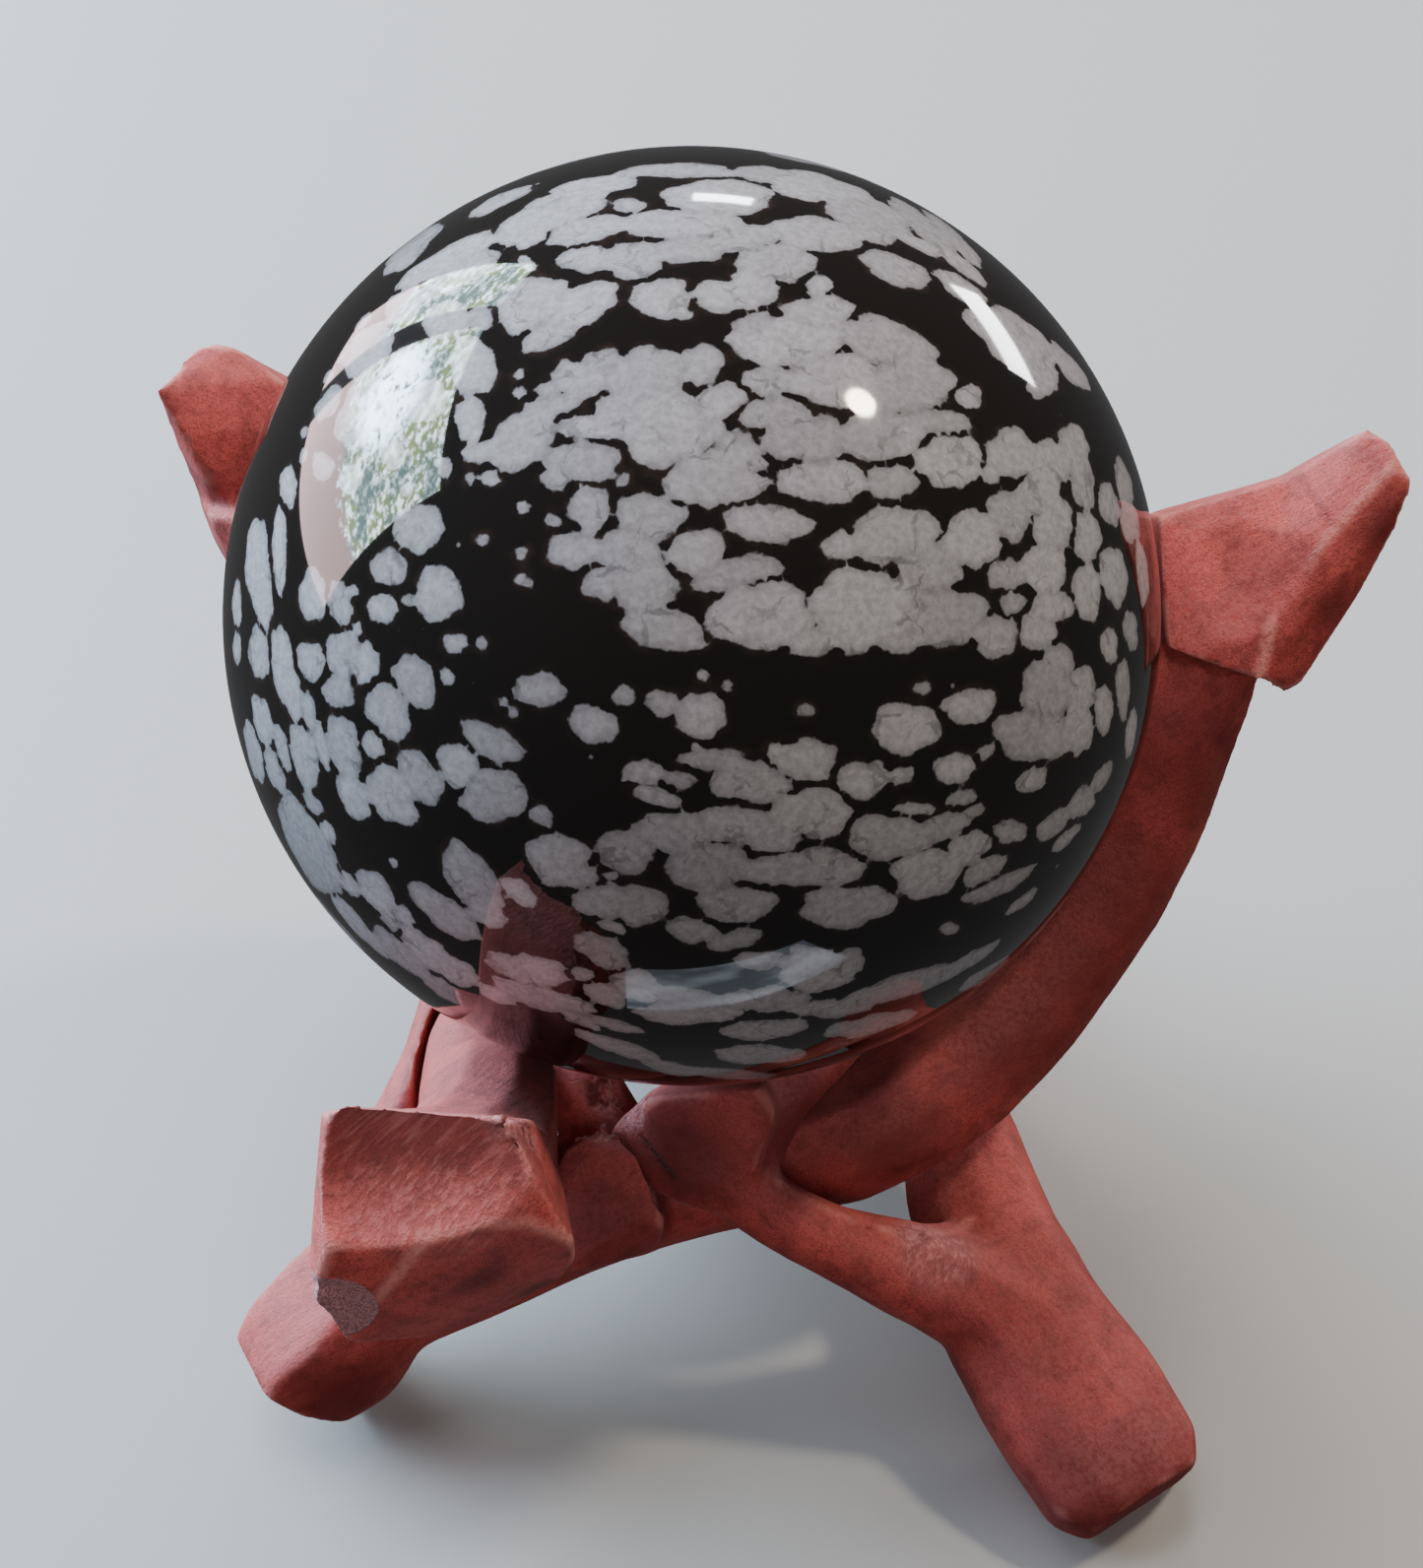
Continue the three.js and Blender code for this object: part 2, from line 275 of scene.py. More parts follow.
# The flakes on the side that is seen, each read off the photo, in its pixels: across and down
# to the flake's middle, its width and height, and how many degrees it leans up to the right.
readFlakes = [
    (560, 338, 62, 30, 25), (480, 370, 44, 60, 10), (478, 425, 30, 52, 0), (590, 385, 60, 42, 0),
    (612, 366, 44, 20, 5), (658, 385, 85, 68, 0), (712, 370, 48, 42, 30), (560, 395, 32, 18, 20),
    (562, 410, 64, 24, 10), (530, 445, 84, 50, 38), (489, 458, 36, 22, 10), (500, 484, 20, 18, 0),
    (478, 485, 12, 12, 0), (632, 420, 62, 54, 20), (602, 433, 76, 28, 0), (592, 468, 78, 42, 0),
    (566, 484, 32, 24, 0), (675, 432, 84, 84, 0), (668, 462, 50, 30, 0), (732, 408, 56, 38, 25),
    (712, 436, 56, 34, 0), (745, 445, 44, 22, 0), (725, 486, 100, 58, 0), (750, 464, 60, 40, 0),
    (632, 486, 18, 14, 20), (600, 516, 42, 50, 0), (660, 525, 70, 48, 0), (564, 530, 20, 10, -40),
    (533, 514, 13, 9, 0), (490, 547, 13, 11, 0), (530, 560, 13, 12, 0), (533, 589, 22, 12, -20),
    (529, 399, 11, 10, 0), (527, 380, 5, 5, 0), (587, 558, 62, 38, 0), (640, 562, 72, 50, -10),
    (708, 561, 62, 50, 0), (748, 582, 92, 32, 12), (614, 592, 46, 34, 0), (656, 598, 62, 64, 0),
    (674, 636, 86, 46, -15), (489, 653, 8, 6, 0), (463, 652, 26, 20, 0), (800, 345, 115, 52, 0),
    (770, 335, 50, 40, 0), (905, 348, 108, 46, -20), (925, 390, 92, 56, 0), (850, 384, 94, 56, 0),
    (785, 386, 60, 32, 0), (985, 402, 26, 24, 0), (945, 428, 86, 26, 0), (788, 420, 72, 36, 0),
    (822, 446, 92, 50, 0), (890, 442, 76, 56, 0), (922, 442, 40, 44, 0), (840, 488, 92, 44, 0),
    (906, 488, 56, 36, 0), (967, 467, 68, 52, 0), (1028, 460, 50, 50, 0), (1008, 480, 24, 22, 0),
    (1068, 470, 52, 50, 0), (1090, 455, 34, 46, -10), (910, 543, 92, 56, 8), (857, 554, 44, 30, 0),
    (990, 547, 60, 58, 0), (1027, 522, 46, 52, 0), (1058, 500, 46, 46, 0), (1072, 532, 42, 56, 0),
    (949, 575, 66, 48, 0), (923, 590, 26, 22, 0), (1026, 583, 46, 34, 0), (1062, 577, 46, 54, 0),
    (1030, 612, 26, 24, 0), (1070, 615, 44, 36, 0), (882, 618, 112, 82, 0), (775, 625, 106, 66, 0),
    (958, 625, 94, 58, 0), (1012, 645, 48, 44, 0), (1055, 640, 38, 38, 0), (828, 650, 60, 30, 0),
    (915, 648, 64, 28, 0), (780, 530, 90, 38, -5), (548, 700, 54, 34, 0), (514, 713, 16, 9, -30),
    (522, 722, 10, 14, -30), (603, 735, 50, 34, -20), (633, 706, 24, 20, 0), (675, 715, 38, 24, -15),
    (712, 727, 54, 46, 0), (715, 686, 8, 7, 0), (740, 697, 8, 7, 0), (707, 758, 14, 10, 0),
    (500, 755, 66, 34, -30), (502, 808, 66, 56, 0), (550, 828, 28, 20, -30), (655, 785, 44, 26, 0),
    (688, 790, 42, 18, -10), (668, 808, 50, 20, -20), (730, 772, 78, 26, -8), (765, 795, 84, 42, -5),
    (567, 873, 64, 52, -25), (590, 888, 40, 28, -20), (637, 865, 58, 46, 0), (621, 890, 20, 12, 0),
    (685, 845, 86, 44, 0), (750, 838, 90, 40, 0), (720, 880, 86, 54, 0), (778, 884, 64, 32, 0),
    (612, 915, 58, 34, 0), (650, 920, 56, 42, 0), (622, 940, 36, 14, -20), (748, 918, 80, 38, 0),
    (705, 945, 58, 24, -10), (745, 955, 56, 20, 10), (527, 905, 42, 20, -35), (818, 772, 64, 44, 0),
    (792, 765, 30, 24, 0), (819, 722, 18, 12, 0), (922, 740, 68, 52, 0), (938, 698, 20, 12, 0),
    (987, 717, 52, 34, 10), (1002, 764, 22, 11, 25), (971, 780, 42, 30, 10), (978, 811, 34, 17, 15),
    (878, 791, 54, 36, 10), (912, 788, 34, 16, 10), (825, 826, 84, 50, 0), (785, 850, 56, 36, 0),
    (905, 850, 84, 44, 0), (930, 822, 44, 13, 0), (960, 840, 60, 28, 20), (990, 823, 26, 13, 25),
    (945, 886, 74, 50, 15), (985, 862, 50, 32, 25), (830, 882, 96, 40, 0), (862, 921, 94, 42, 5),
    (1045, 746, 62, 54, 0), (1068, 700, 58, 60, 0), (1072, 748, 50, 44, 0), (1050, 791, 34, 22, 35),
    (1000, 884, 50, 22, 30), (1016, 900, 76, 16, 25), (1027, 845, 34, 22, 0), (1073, 836, 48, 20, 45),
    (1084, 851, 40, 12, 45), (1040, 915, 40, 10, 40), (966, 943, 20, 11, 0), (1075, 672, 34, 34, 0),
    (1097, 738, 30, 56, 0), (1035, 345, 110, 44, -38), (1062, 385, 30, 36, -35), (1088, 372, 62, 16, -50),
    (1143, 490, 15, 50, 12), (1128, 512, 20, 44, 15), (1149, 528, 18, 48, 10), (1133, 585, 27, 58, 8),
    (1101, 486, 24, 66, 8), (1106, 545, 28, 54, 5), (1106, 600, 28, 58, 0), (1162, 582, 11, 66, 5),
    (1150, 640, 14, 40, 5), (1128, 655, 16, 36, 8), (1122, 720, 20, 50, 0), (1100, 700, 30, 50, 0),
    (1142, 700, 14, 60, 0), (1120, 790, 14, 36, -30), (1100, 815, 22, 40, -40), (1150, 745, 10, 50, -8),
    (455, 262, 115, 24, 28), (418, 250, 72, 16, 40), (480, 268, 54, 30, 25), (560, 215, 124, 34, 22),
    (508, 203, 66, 12, 25), (600, 190, 92, 22, 12), (541, 242, 38, 14, 25), (598, 232, 88, 26, 12),
    (597, 262, 60, 26, 0), (642, 263, 66, 36, 5), (536, 266, 22, 9, -40), (540, 307, 76, 48, 30),
    (592, 308, 76, 38, 25), (692, 226, 134, 30, 0), (640, 208, 32, 16, 0), (698, 252, 98, 26, 5),
    (760, 240, 80, 26, 8), (738, 300, 70, 32, -3), (673, 302, 60, 40, 0), (690, 318, 28, 14, 0),
    (765, 292, 50, 42, 0), (790, 264, 82, 38, 0), (832, 236, 104, 34, -5), (832, 188, 112, 26, -12),
    (884, 218, 92, 38, -22), (732, 198, 108, 36, 0), (690, 172, 130, 14, 0), (911, 272, 72, 28, -22),
    (935, 247, 60, 12, -25), (938, 226, 86, 18, -38), (978, 268, 60, 13, -38), (978, 292, 60, 20, -35),
    (833, 290, 28, 22, 0), (834, 316, 74, 34, 0), (968, 238, 80, 12, -42), (780, 176, 70, 16, -5),
    (395, 576, 36, 38, 0), (425, 536, 50, 46, 35), (445, 603, 46, 54, 0), (425, 609, 34, 16, 0),
    (389, 617, 30, 30, 0), (346, 612, 26, 46, 10), (357, 600, 14, 16, 0), (363, 637, 10, 16, 15),
    (349, 665, 36, 52, 0), (372, 673, 26, 44, 0), (316, 671, 28, 40, 10), (344, 700, 32, 34, 20),
    (422, 692, 40, 58, 25), (454, 687, 15, 17, 0), (394, 722, 40, 62, 25), (379, 756, 21, 30, 28),
    (427, 790, 38, 60, 35), (466, 777, 42, 46, 25), (398, 808, 44, 66, 35), (360, 808, 28, 52, 25),
    (349, 760, 32, 70, 15), (327, 757, 13, 50, 12), (313, 722, 16, 46, 15), (309, 768, 26, 68, 12),
    (287, 758, 13, 52, 16), (267, 732, 18, 54, 14), (279, 782, 15, 52, 20), (258, 765, 13, 62, 14),
    (318, 815, 13, 32, 32), (241, 613, 9, 48, 0), (241, 658, 8, 32, 0), (263, 663, 20, 52, 5),
    (290, 684, 24, 96, 12), (262, 578, 24, 108, 4), (318, 604, 28, 52, 0), (284, 556, 14, 90, 0),
    (312, 862, 32, 112, 28), (333, 845, 13, 28, 30), (340, 886, 11, 36, 35), (356, 898, 15, 32, 38),
    (383, 907, 26, 58, 36), (398, 932, 18, 30, 35), (411, 930, 14, 28, 35), (364, 940, 13, 86, 42),
    (398, 962, 18, 52, 42), (434, 966, 72, 25, -40), (412, 972, 70, 20, -40), (464, 986, 50, 24, -32),
    (448, 1003, 50, 16, -35), (452, 927, 86, 30, -37), (480, 893, 84, 42, -52), (494, 926, 46, 28, -35),
    (400, 875, 6, 7, 0), (525, 984, 66, 24, -22), (548, 986, 60, 28, -18), (545, 1012, 92, 22, -18),
    (505, 1010, 44, 15, -25), (592, 990, 24, 14, -15), (616, 1010, 48, 22, -22), (575, 1017, 70, 15, -22),
    (622, 1040, 60, 12, -15), (590, 1036, 50, 12, -24), (612, 966, 60, 30, -28), (648, 1002, 56, 32, -15),
    (690, 1014, 90, 22, -3), (700, 1030, 112, 20, 0), (762, 1016, 60, 22, 0), (788, 1016, 70, 26, 0),
    (630, 1064, 90, 14, -18), (684, 1085, 64, 13, -10), (778, 1046, 88, 20, 5), (774, 1072, 92, 18, 0),
    (745, 1092, 90, 10, -2), (830, 986, 76, 46, 0), (775, 975, 58, 20, 0), (848, 1024, 92, 18, 5),
    (862, 1044, 50, 14, 15), (925, 1000, 124, 22, 18), (892, 1040, 82, 18, 16), (985, 976, 70, 12, 30),
    (1002, 990, 60, 10, 35), (860, 978, 40, 28, 15),
]

# Where the photo shows the ball, in the photo's pixels from its upper left corner.
photo = {
    "middleAcross": 722.5,
    "middleDown": 796,
    "ballAcross": 704,
    "ballDown": 630,
    "ballRadius": 476,
}
stoneRadius = (ballHigh.z - ballLow.z) / 2 / mm
# the lens as seen from the ball's middle in mm, and how many pixels the picture lies behind it
lens = np.array([0, -math.cos(lookDown), math.sin(lookDown)]) * view["distance"] / mm
imageDepth = photo["ballRadius"] * math.sqrt(lens @ lens - stoneRadius ** 2) / stoneRadius

# The photo's camera was level, and turned so that the ball lies beside the middle of the picture.
toBall = np.array([
    photo["ballAcross"] - photo["middleAcross"], photo["middleDown"] - photo["ballDown"], -imageDepth])
toBall /= np.linalg.norm(toBall)
yaw = math.asin(toBall[0] / math.cos(lookDown))
pitch = math.atan2(toBall[1], -toBall[2]) + math.asin(math.sin(lookDown) / math.hypot(toBall[1], toBall[2]))
rightwards = np.array([math.cos(yaw), math.sin(yaw), 0])
behind = np.array([math.sin(yaw) * math.cos(pitch), -math.cos(yaw) * math.cos(pitch), math.sin(pitch)])


def underPhoto(across, down):      # the place on the ball, in mm from its middle, or None beside it
    ray = rightwards * (across - photo["middleAcross"]) - behind * imageDepth
    ray += np.cross(behind, rightwards) * (photo["middleDown"] - down)
    ray /= np.linalg.norm(ray)
    nearing = lens @ ray
    inside = nearing ** 2 - lens @ lens + stoneRadius ** 2
    return None if inside < 0 else lens - (nearing + math.sqrt(inside)) * ray


def halfOver(across, down, stepAcross, stepDown):      # half a flake's width or height, laid on the ball
    middle = underPhoto(across, down)
    halves = []
    for share in (1.0, -1.0):
        end = underPhoto(across + share * stepAcross, down + share * stepDown)
        while end is None:         # past the rim of the ball
            share *= 0.8
            end = underPhoto(across + share * stepAcross, down + share * stepDown)
        halves.append((end - middle) / share)
    return (halves[0] + halves[1]) / 2


def onBall(turn, rise):
    turn, rise = math.radians(turn), math.radians(rise)
    outward = np.array([math.sin(turn) * math.cos(rise), -math.cos(turn) * math.cos(rise), math.sin(rise)])
    east = np.array([math.cos(turn), math.sin(turn), 0])
    return outward, east, np.cross(outward, east)


# A flake on the ball is its turn and rise in degrees, half its length and half its width in mm, and
# its tilt in degrees. Tenths are finer than the photo could be read.
seenFlakes = []
for across, down, width, height, lean in readFlakes:
    outward = underPhoto(across, down) / stoneRadius
    turn, rise = math.degrees(math.atan2(outward[0], -outward[1])), math.degrees(math.asin(outward[2]))
    outward, east, north = onBall(turn, rise)
    lean = math.radians(lean)
    halfWidth = halfOver(across, down, math.cos(lean) * width / 2, -math.sin(lean) * width / 2)
    halfHeight = halfOver(across, down, math.sin(lean) * height / 2, math.cos(lean) * height / 2)
    shape = [[halfWidth @ east, halfHeight @ east], [halfWidth @ north, halfHeight @ north]]
    axes, (length, width), _ = np.linalg.svd(shape)
    tilt = math.degrees(math.atan2(axes[1, 0], axes[0, 0]))
    if abs(tilt) > 90:
        tilt -= math.copysign(180, tilt)
    length = min(length, ballLook["longestSeen"])
    seenFlakes.append((round(turn, 1), round(rise, 1), round(length, 1), round(width, 1), round(tilt)))

# Glass that stays clear on the unseen sides too: turn and rise in degrees, reach in mm.
clearGlass = [
    (70, 12, 9), (118, -28, 8), (165, 30, 10), (-150, -5, 9), (-105, 38, 7), (-118, -38, 9), (40, -52, 8),
]


def wayOver(first, second):        # mm over the ball from one direction to another
    return math.acos(min(1, first @ second)) * ballLook["radius"]


# Flakes of the sides that the eye doesn't see, and of the patch that the window's mirror image
# hides, grow by chance. Their sizes are those of the seen ones.
chance = np.random.default_rng(ballLook["seedOfFlakes"])
fromEye = np.array(backwards)
hiddenPatch = np.array(ballLook["hiddenPatch"])
allFlakes = list(seenFlakes)
middles = [onBall(turn, rise)[0] for turn, rise, *rest in seenFlakes]
clearMiddles = [(onBall(turn, rise)[0], reach) for turn, rise, reach in clearGlass]
for attempt in range(ballLook["triesForFlakes"]):
    outward = chance.normal(size=3)
    outward /= np.linalg.norm(outward)
    length = ballLook["shortest"] + ballLook["longer"] * chance.random() ** 1.5
    width = length * (ballLook["slimmest"] + ballLook["wider"] * chance.random())
    tilt = chance.normal() * ballLook["tilt"]
    inSight = outward @ fromEye > ballLook["seenFrom"]
    seen = inSight and outward @ hiddenPatch < ballLook["hiddenFrom"]
    clear = any(wayOver(outward, middle) < reach for middle, reach in clearMiddles)
    apart = ballLook["apart"] + width * ballLook["apartByWidth"]
    crowded = any(wayOver(outward, middle) < apart for middle in middles)
    if seen or crowded or (clear and chance.random() < ballLook["turnedAway"]):
        continue
    middles.append(outward)
    turn = math.degrees(math.atan2(outward[0], -outward[1]))
    allFlakes.append((turn, math.degrees(math.asin(outward[2])), length, width, tilt))

deselectAll()
bpy.ops.mesh.primitive_ico_sphere_add(
    subdivisions=ballLook["subdivisions"], radius=ballLook["radius"] * mm, location=ballMiddle)
ball = bpy.context.object
ball.name = ball.data.name = "polishedBall"
bpy.ops.object.mode_set(mode="EDIT")
bpy.ops.mesh.select_all(action="SELECT")
bpy.ops.mesh.subdivide(number_cuts=ballLook["furtherCuts"])
bpy.ops.object.mode_set(mode="OBJECT")
rounding = ball.modifiers.new("true round", "CAST")
rounding.factor = 1
rounding.size = ballLook["radius"] * mm
rounding.use_radius_as_size = False
rounding.radius = 0
applyModifiers(ball)
bpy.ops.object.transform_apply(location=True, rotation=True, scale=True)
slowWave = bpy.data.textures.new("slowWave", "CLOUDS")
slowWave.noise_scale = ballLook["waveWidth"] * mm
wave = ball.modifiers.new("hand polish", "DISPLACE")
wave.texture = slowWave
wave.strength = -ballLook["polishWave"] * mm
wave.mid_level = 0
applyModifiers(ball)
bpy.ops.object.shade_smooth()

# Depth inside the flake that reaches furthest at each point, in mm, below zero between flakes.
# Where two flakes only just meet, their edges stay notched.
fromMiddle = (pointsOf(ball) - np.array(ballMiddle)) / mm
deepest = np.full(len(fromMiddle), ballLook["clearOfFlakes"])
second = np.full(len(fromMiddle), ballLook["clearOfFlakes"])
tone = np.full(len(fromMiddle), 0.5)
for turn, rise, length, width, tilt in allFlakes:
    outward, east, north = onBall(turn, rise)
    length, width = max(length, ballLook["leastFlake"]), max(width, ballLook["leastFlake"])
    edgeAngle = (length + 2) / ballLook["radius"]    # with 2 mm to spare for the lobes and the falloff
    near = np.flatnonzero(fromMiddle @ outward > math.cos(edgeAngle) * ballLook["radius"])
    across, along = fromMiddle[near] @ east, fromMiddle[near] @ north
    lean = math.radians(tilt)
    a = (across * math.cos(lean) + along * math.sin(lean)) / length
    b = (along * math.cos(lean) - across * math.sin(lean)) / width
    reach = np.maximum(np.hypot(a, b), 0.05)         # above zero at the very middle too
    angle = np.arctan2(b, a)
    outline = ballLook["flakeSwell"]
    starts = chance.random(len(ballLook["lobes"])) * 2 * math.pi
    for (count, height), start in zip(ballLook["lobes"], starts):
        outline = outline + height * np.sin(count * angle + start)
    inside = (outline - reach) * reach / np.hypot(a / length, b / width)
    inside = np.maximum(inside, ballLook["clearOfFlakes"])
    ownTone = chance.random()
    wins = inside > deepest[near]
    second[near] = np.where(wins, deepest[near], np.maximum(second[near], inside))
    tone[near] = np.where(wins, ownTone, tone[near])
    deepest[near] = np.where(wins, inside, deepest[near])
lead = ballLook["notchFalloff"] * (deepest - second)
notch = np.clip(ballLook["notch"] - second - lead, 0, ballLook["notch"])
depthOfFlake = np.where(second > ballLook["notchFrom"], deepest - notch, deepest)
keepOnMesh(ball, "flakeDepth", depthOfFlake)
keepOnMesh(ball, "flakeTone", tone)
print("ball turned and polished,", len(ball.data.polygons), "faces,", len(allFlakes), "flakes in it")

obsidian, tree, shader = newMaterial("snowflakeObsidian")
where = tree.nodes.new("ShaderNodeTexCoord").outputs["Object"]
centred = tree.nodes.new("ShaderNodeMapping")
centred.inputs["Location"].default_value = [-c / mm for c in ballMiddle]
centred.inputs["Scale"].default_value = (1 / mm,) * 3
feed(tree, where, centred.inputs["Vector"])
place = centred.outputs["Vector"]

# the edges of the flakes crumble
coarse = noiseOf(tree, place, ballLook["crumbGrain"], 2.0, 0.5)
coarse = rangeOf(tree, coarse, 0.0, 1.0, -0.5, 0.5, smooth=False)
fine = noiseOf(tree, place, ballLook["fineCrumbGrain"], 2.0, 0.5)
fine = rangeOf(tree, fine, 0.0, 1.0, -0.22, 0.22, smooth=False)
wander = productOf(tree, mathOf(tree, "ADD", coarse, fine), ballLook["crumbled"])
depth = mathOf(tree, "ADD", fromMesh(tree, "flakeDepth"), wander)

# thin broken lines run through them where smaller ones have grown together
joints = tree.nodes.new("ShaderNodeTexVoronoi")
joints.feature = "DISTANCE_TO_EDGE"
joints.inputs["Scale"].default_value = ballLook["jointGrain"]
bend = noiseOf(tree, place, ballLook["jointBendGrain"], 2.0, colour=True)
bend = vectorOf(tree, "SUBTRACT", bend, (0.5, 0.5, 0.5))
bend = vectorOf(tree, "SCALE", bend, scale=ballLook["jointBend"])
feed(tree, vectorOf(tree, "ADD", place, bend), joints.inputs["Vector"])
openJoint = noiseOf(tree, place, ballLook["jointOpenGrain"], 2.0)
openJoint = rangeOf(tree, openJoint, 0.5, 0.68, -0.01, 0.055)
fromJoint = mathOf(tree, "SUBTRACT", joints.outputs["Distance"], openJoint)
jointLine = rangeOf(tree, fromJoint, -0.02, 0.03, ballLook["jointShade"], 1.0)
shallow = rangeOf(tree, depth, 0.5, 1.3, 0.0, 1.0)
keptPale = mathOf(tree, "MAXIMUM", jointLine, productOf(tree, shallow, ballLook["inDeepFlakes"]))
flake = productOf(tree, rangeOf(tree, depth, -0.08, 0.10), keptPale)
specks = rangeOf(tree, noiseOf(tree, place, ballLook["speckGrain"], 2.0, 0.6), 0.24, 0.31)
specks = rangeOf(tree, specks, 0.0, 1.0, ballLook["speckShade"], 1.0, smooth=False)
flake = productOf(tree, flake, specks)

# a pale flake is mottled, a little darker towards its edge, and has a tone of its own
mottle = rangeOf(tree, noiseOf(tree, place, ballLook["mottleGrain"], 4.0, 0.65), 0.3, 0.7)
rim = rangeOf(tree, depth, 0.0, ballLook["rimWidth"], ballLook["rimShade"], 1.0)
ownTone = rangeOf(tree, fromMesh(tree, "flakeTone"), 0.0, 1.0, 0.86, 1.1, smooth=False)
paleStone = mixOf(tree, mottle, ballLook["flakeShade"], ballLook["flakeColour"])
paleStone = mixOf(tree, 1.0, paleStone, productOf(tree, rim, ownTone), "MULTIPLY")

# the glass is brown in places close to a flake, and holds a few crystal dots
close = rangeOf(tree, depth, -ballLook["brownWidth"], -0.02, 0.0, ballLook["brownMost"])
thin = rangeOf(tree, noiseOf(tree, place, ballLook["brownGrain"], 3.0, 0.6), 0.42, 0.66)
brown = productOf(tree, close, thin)
darkGlass = mixOf(tree, brown, ballLook["glassColour"], ballLook["betweenFlakes"])
dust = tree.nodes.new("ShaderNodeTexVoronoi")
dust.inputs["Scale"].default_value = ballLook["dotGrain"]
feed(tree, place, dust.inputs["Vector"])
rare = tree.nodes.new("ShaderNodeSeparateColor")
feed(tree, dust.outputs["Color"], rare.inputs["Color"])
dotSize = rangeOf(tree, rare.outputs["Red"], ballLook["dotFrom"], 1.0, 0.0, ballLook["dotSize"], smooth=False)
insideDot = mathOf(tree, "SUBTRACT", dotSize, dust.outputs["Distance"])
dots = rangeOf(tree, insideDot, -0.03, 0.03, 0.0, ballLook["dotStrength"])
darkGlass = mixOf(tree, dots, darkGlass, ballLook["flakeShade"])
feed(tree, mixOf(tree, flake, darkGlass, paleStone), shader.inputs["Base Color"])
polish = rangeOf(tree, flake, 0.0, 1.0, ballLook["gloss"], ballLook["flakeGloss"])
feed(tree, polish, shader.inputs["Roughness"])
shader.inputs["IOR"].default_value = ballLook["ior"]
ball.data.materials.clear()
ball.data.materials.append(obsidian)
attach(ball, "root")
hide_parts("obsidian_sphere")
print("snowflakes grown in the ball's glass")

legLook = {
    "doublesWithin": 0.002,        # mm, as all the lengths here
    "voxel": 0.34,
    "headFade": 3,                 # height over which the rubbed bar turns into the head
    "rubbed": 0.5,                 # how hard each smoothing step pulls
    "softBars": 30,                # and how many steps there are
    "softEdges": 5,
    "bluntCorner": 26,
    "settled": 2,
    "scallop": 0.20,               # depth of the hollows that the knife left
    "scallopWidth": 6.5,
    "tornDepth": 0.9,
    "tornGrain": 0.75,
    "tornLevel": 0.85,             # share of the splinters that lies below the whole wood
    "chippedShare": 0.8,           # how deep a chip is beside torn wood
    "wearSteps": 12,               # how an edge's wear is found: see sharpness
    "wearDepth": 0.17,
    "wearFrom": 0.12,
    "crackWidth": 0.34,
    "wornWidth": 0.85,
    "specular": 0.22,
    "sheen": 0.04,
    "bump": 0.7,
    "bumpDepth": 0.22,
    "fibreGrain": (0.14, 2.2, 2.2),  # a grain is a count per mm, here along the fibres and across them
    "patchGrain": 0.16,
    "blotchGrain": 0.6,
    "powderGrain": 2.6,
    "speckleGrain": 7.0,
    "sawTurn": -48,                # degrees
    "sawSize": (5.0, 0.5, 0.26),
    "patchMost": 0.6,              # how much each layer of stain, dust, wear, painted light and painted shade covers at the most
    "paleTintAndLightMost": 0.75,
    "darkTintAndShadeMost": 0.82,
    "blotchMost": 0.48,
    "fibreMost": 0.34,
    "speckleMost": 0.50,
    "wornEdgeMost": 0.5,
    "rubbedMost": 0.75,
    "hollowStainAndShadeMost": 0.5,
    "sawnMost": 0.28,
    "crackMost": 0.92,
    "wholeHeight": 0.5,            # relief of whole wood, and how much more broken wood has
    "roughHeight": 2.6,
    "fibreHeight": 0.55,
    "speckleHeight": 0.34,
    "sawnHeight": 0.4,
    "crackHeight": 2.2,
    "stain": (0.400, 0.062, 0.056, 1),
    # the bright stain also stands for painted light, and the deep stain for painted shade, in the tint and
    # hollow layers
    "paleStainAndPaintedLight": (0.640, 0.105, 0.088, 1),
    "darkStainAndPaintedShade": (0.120, 0.014, 0.013, 1),
    # on upward faces the dust also paints the light that falls on them from above
    "dust": (0.680, 0.300, 0.310, 1),
    "bareEdge": (0.700, 0.270, 0.240, 1),
    "bruise": (0.600, 0.310, 0.340, 1),
    "crackColour": (0.020, 0.004, 0.004, 1),
}
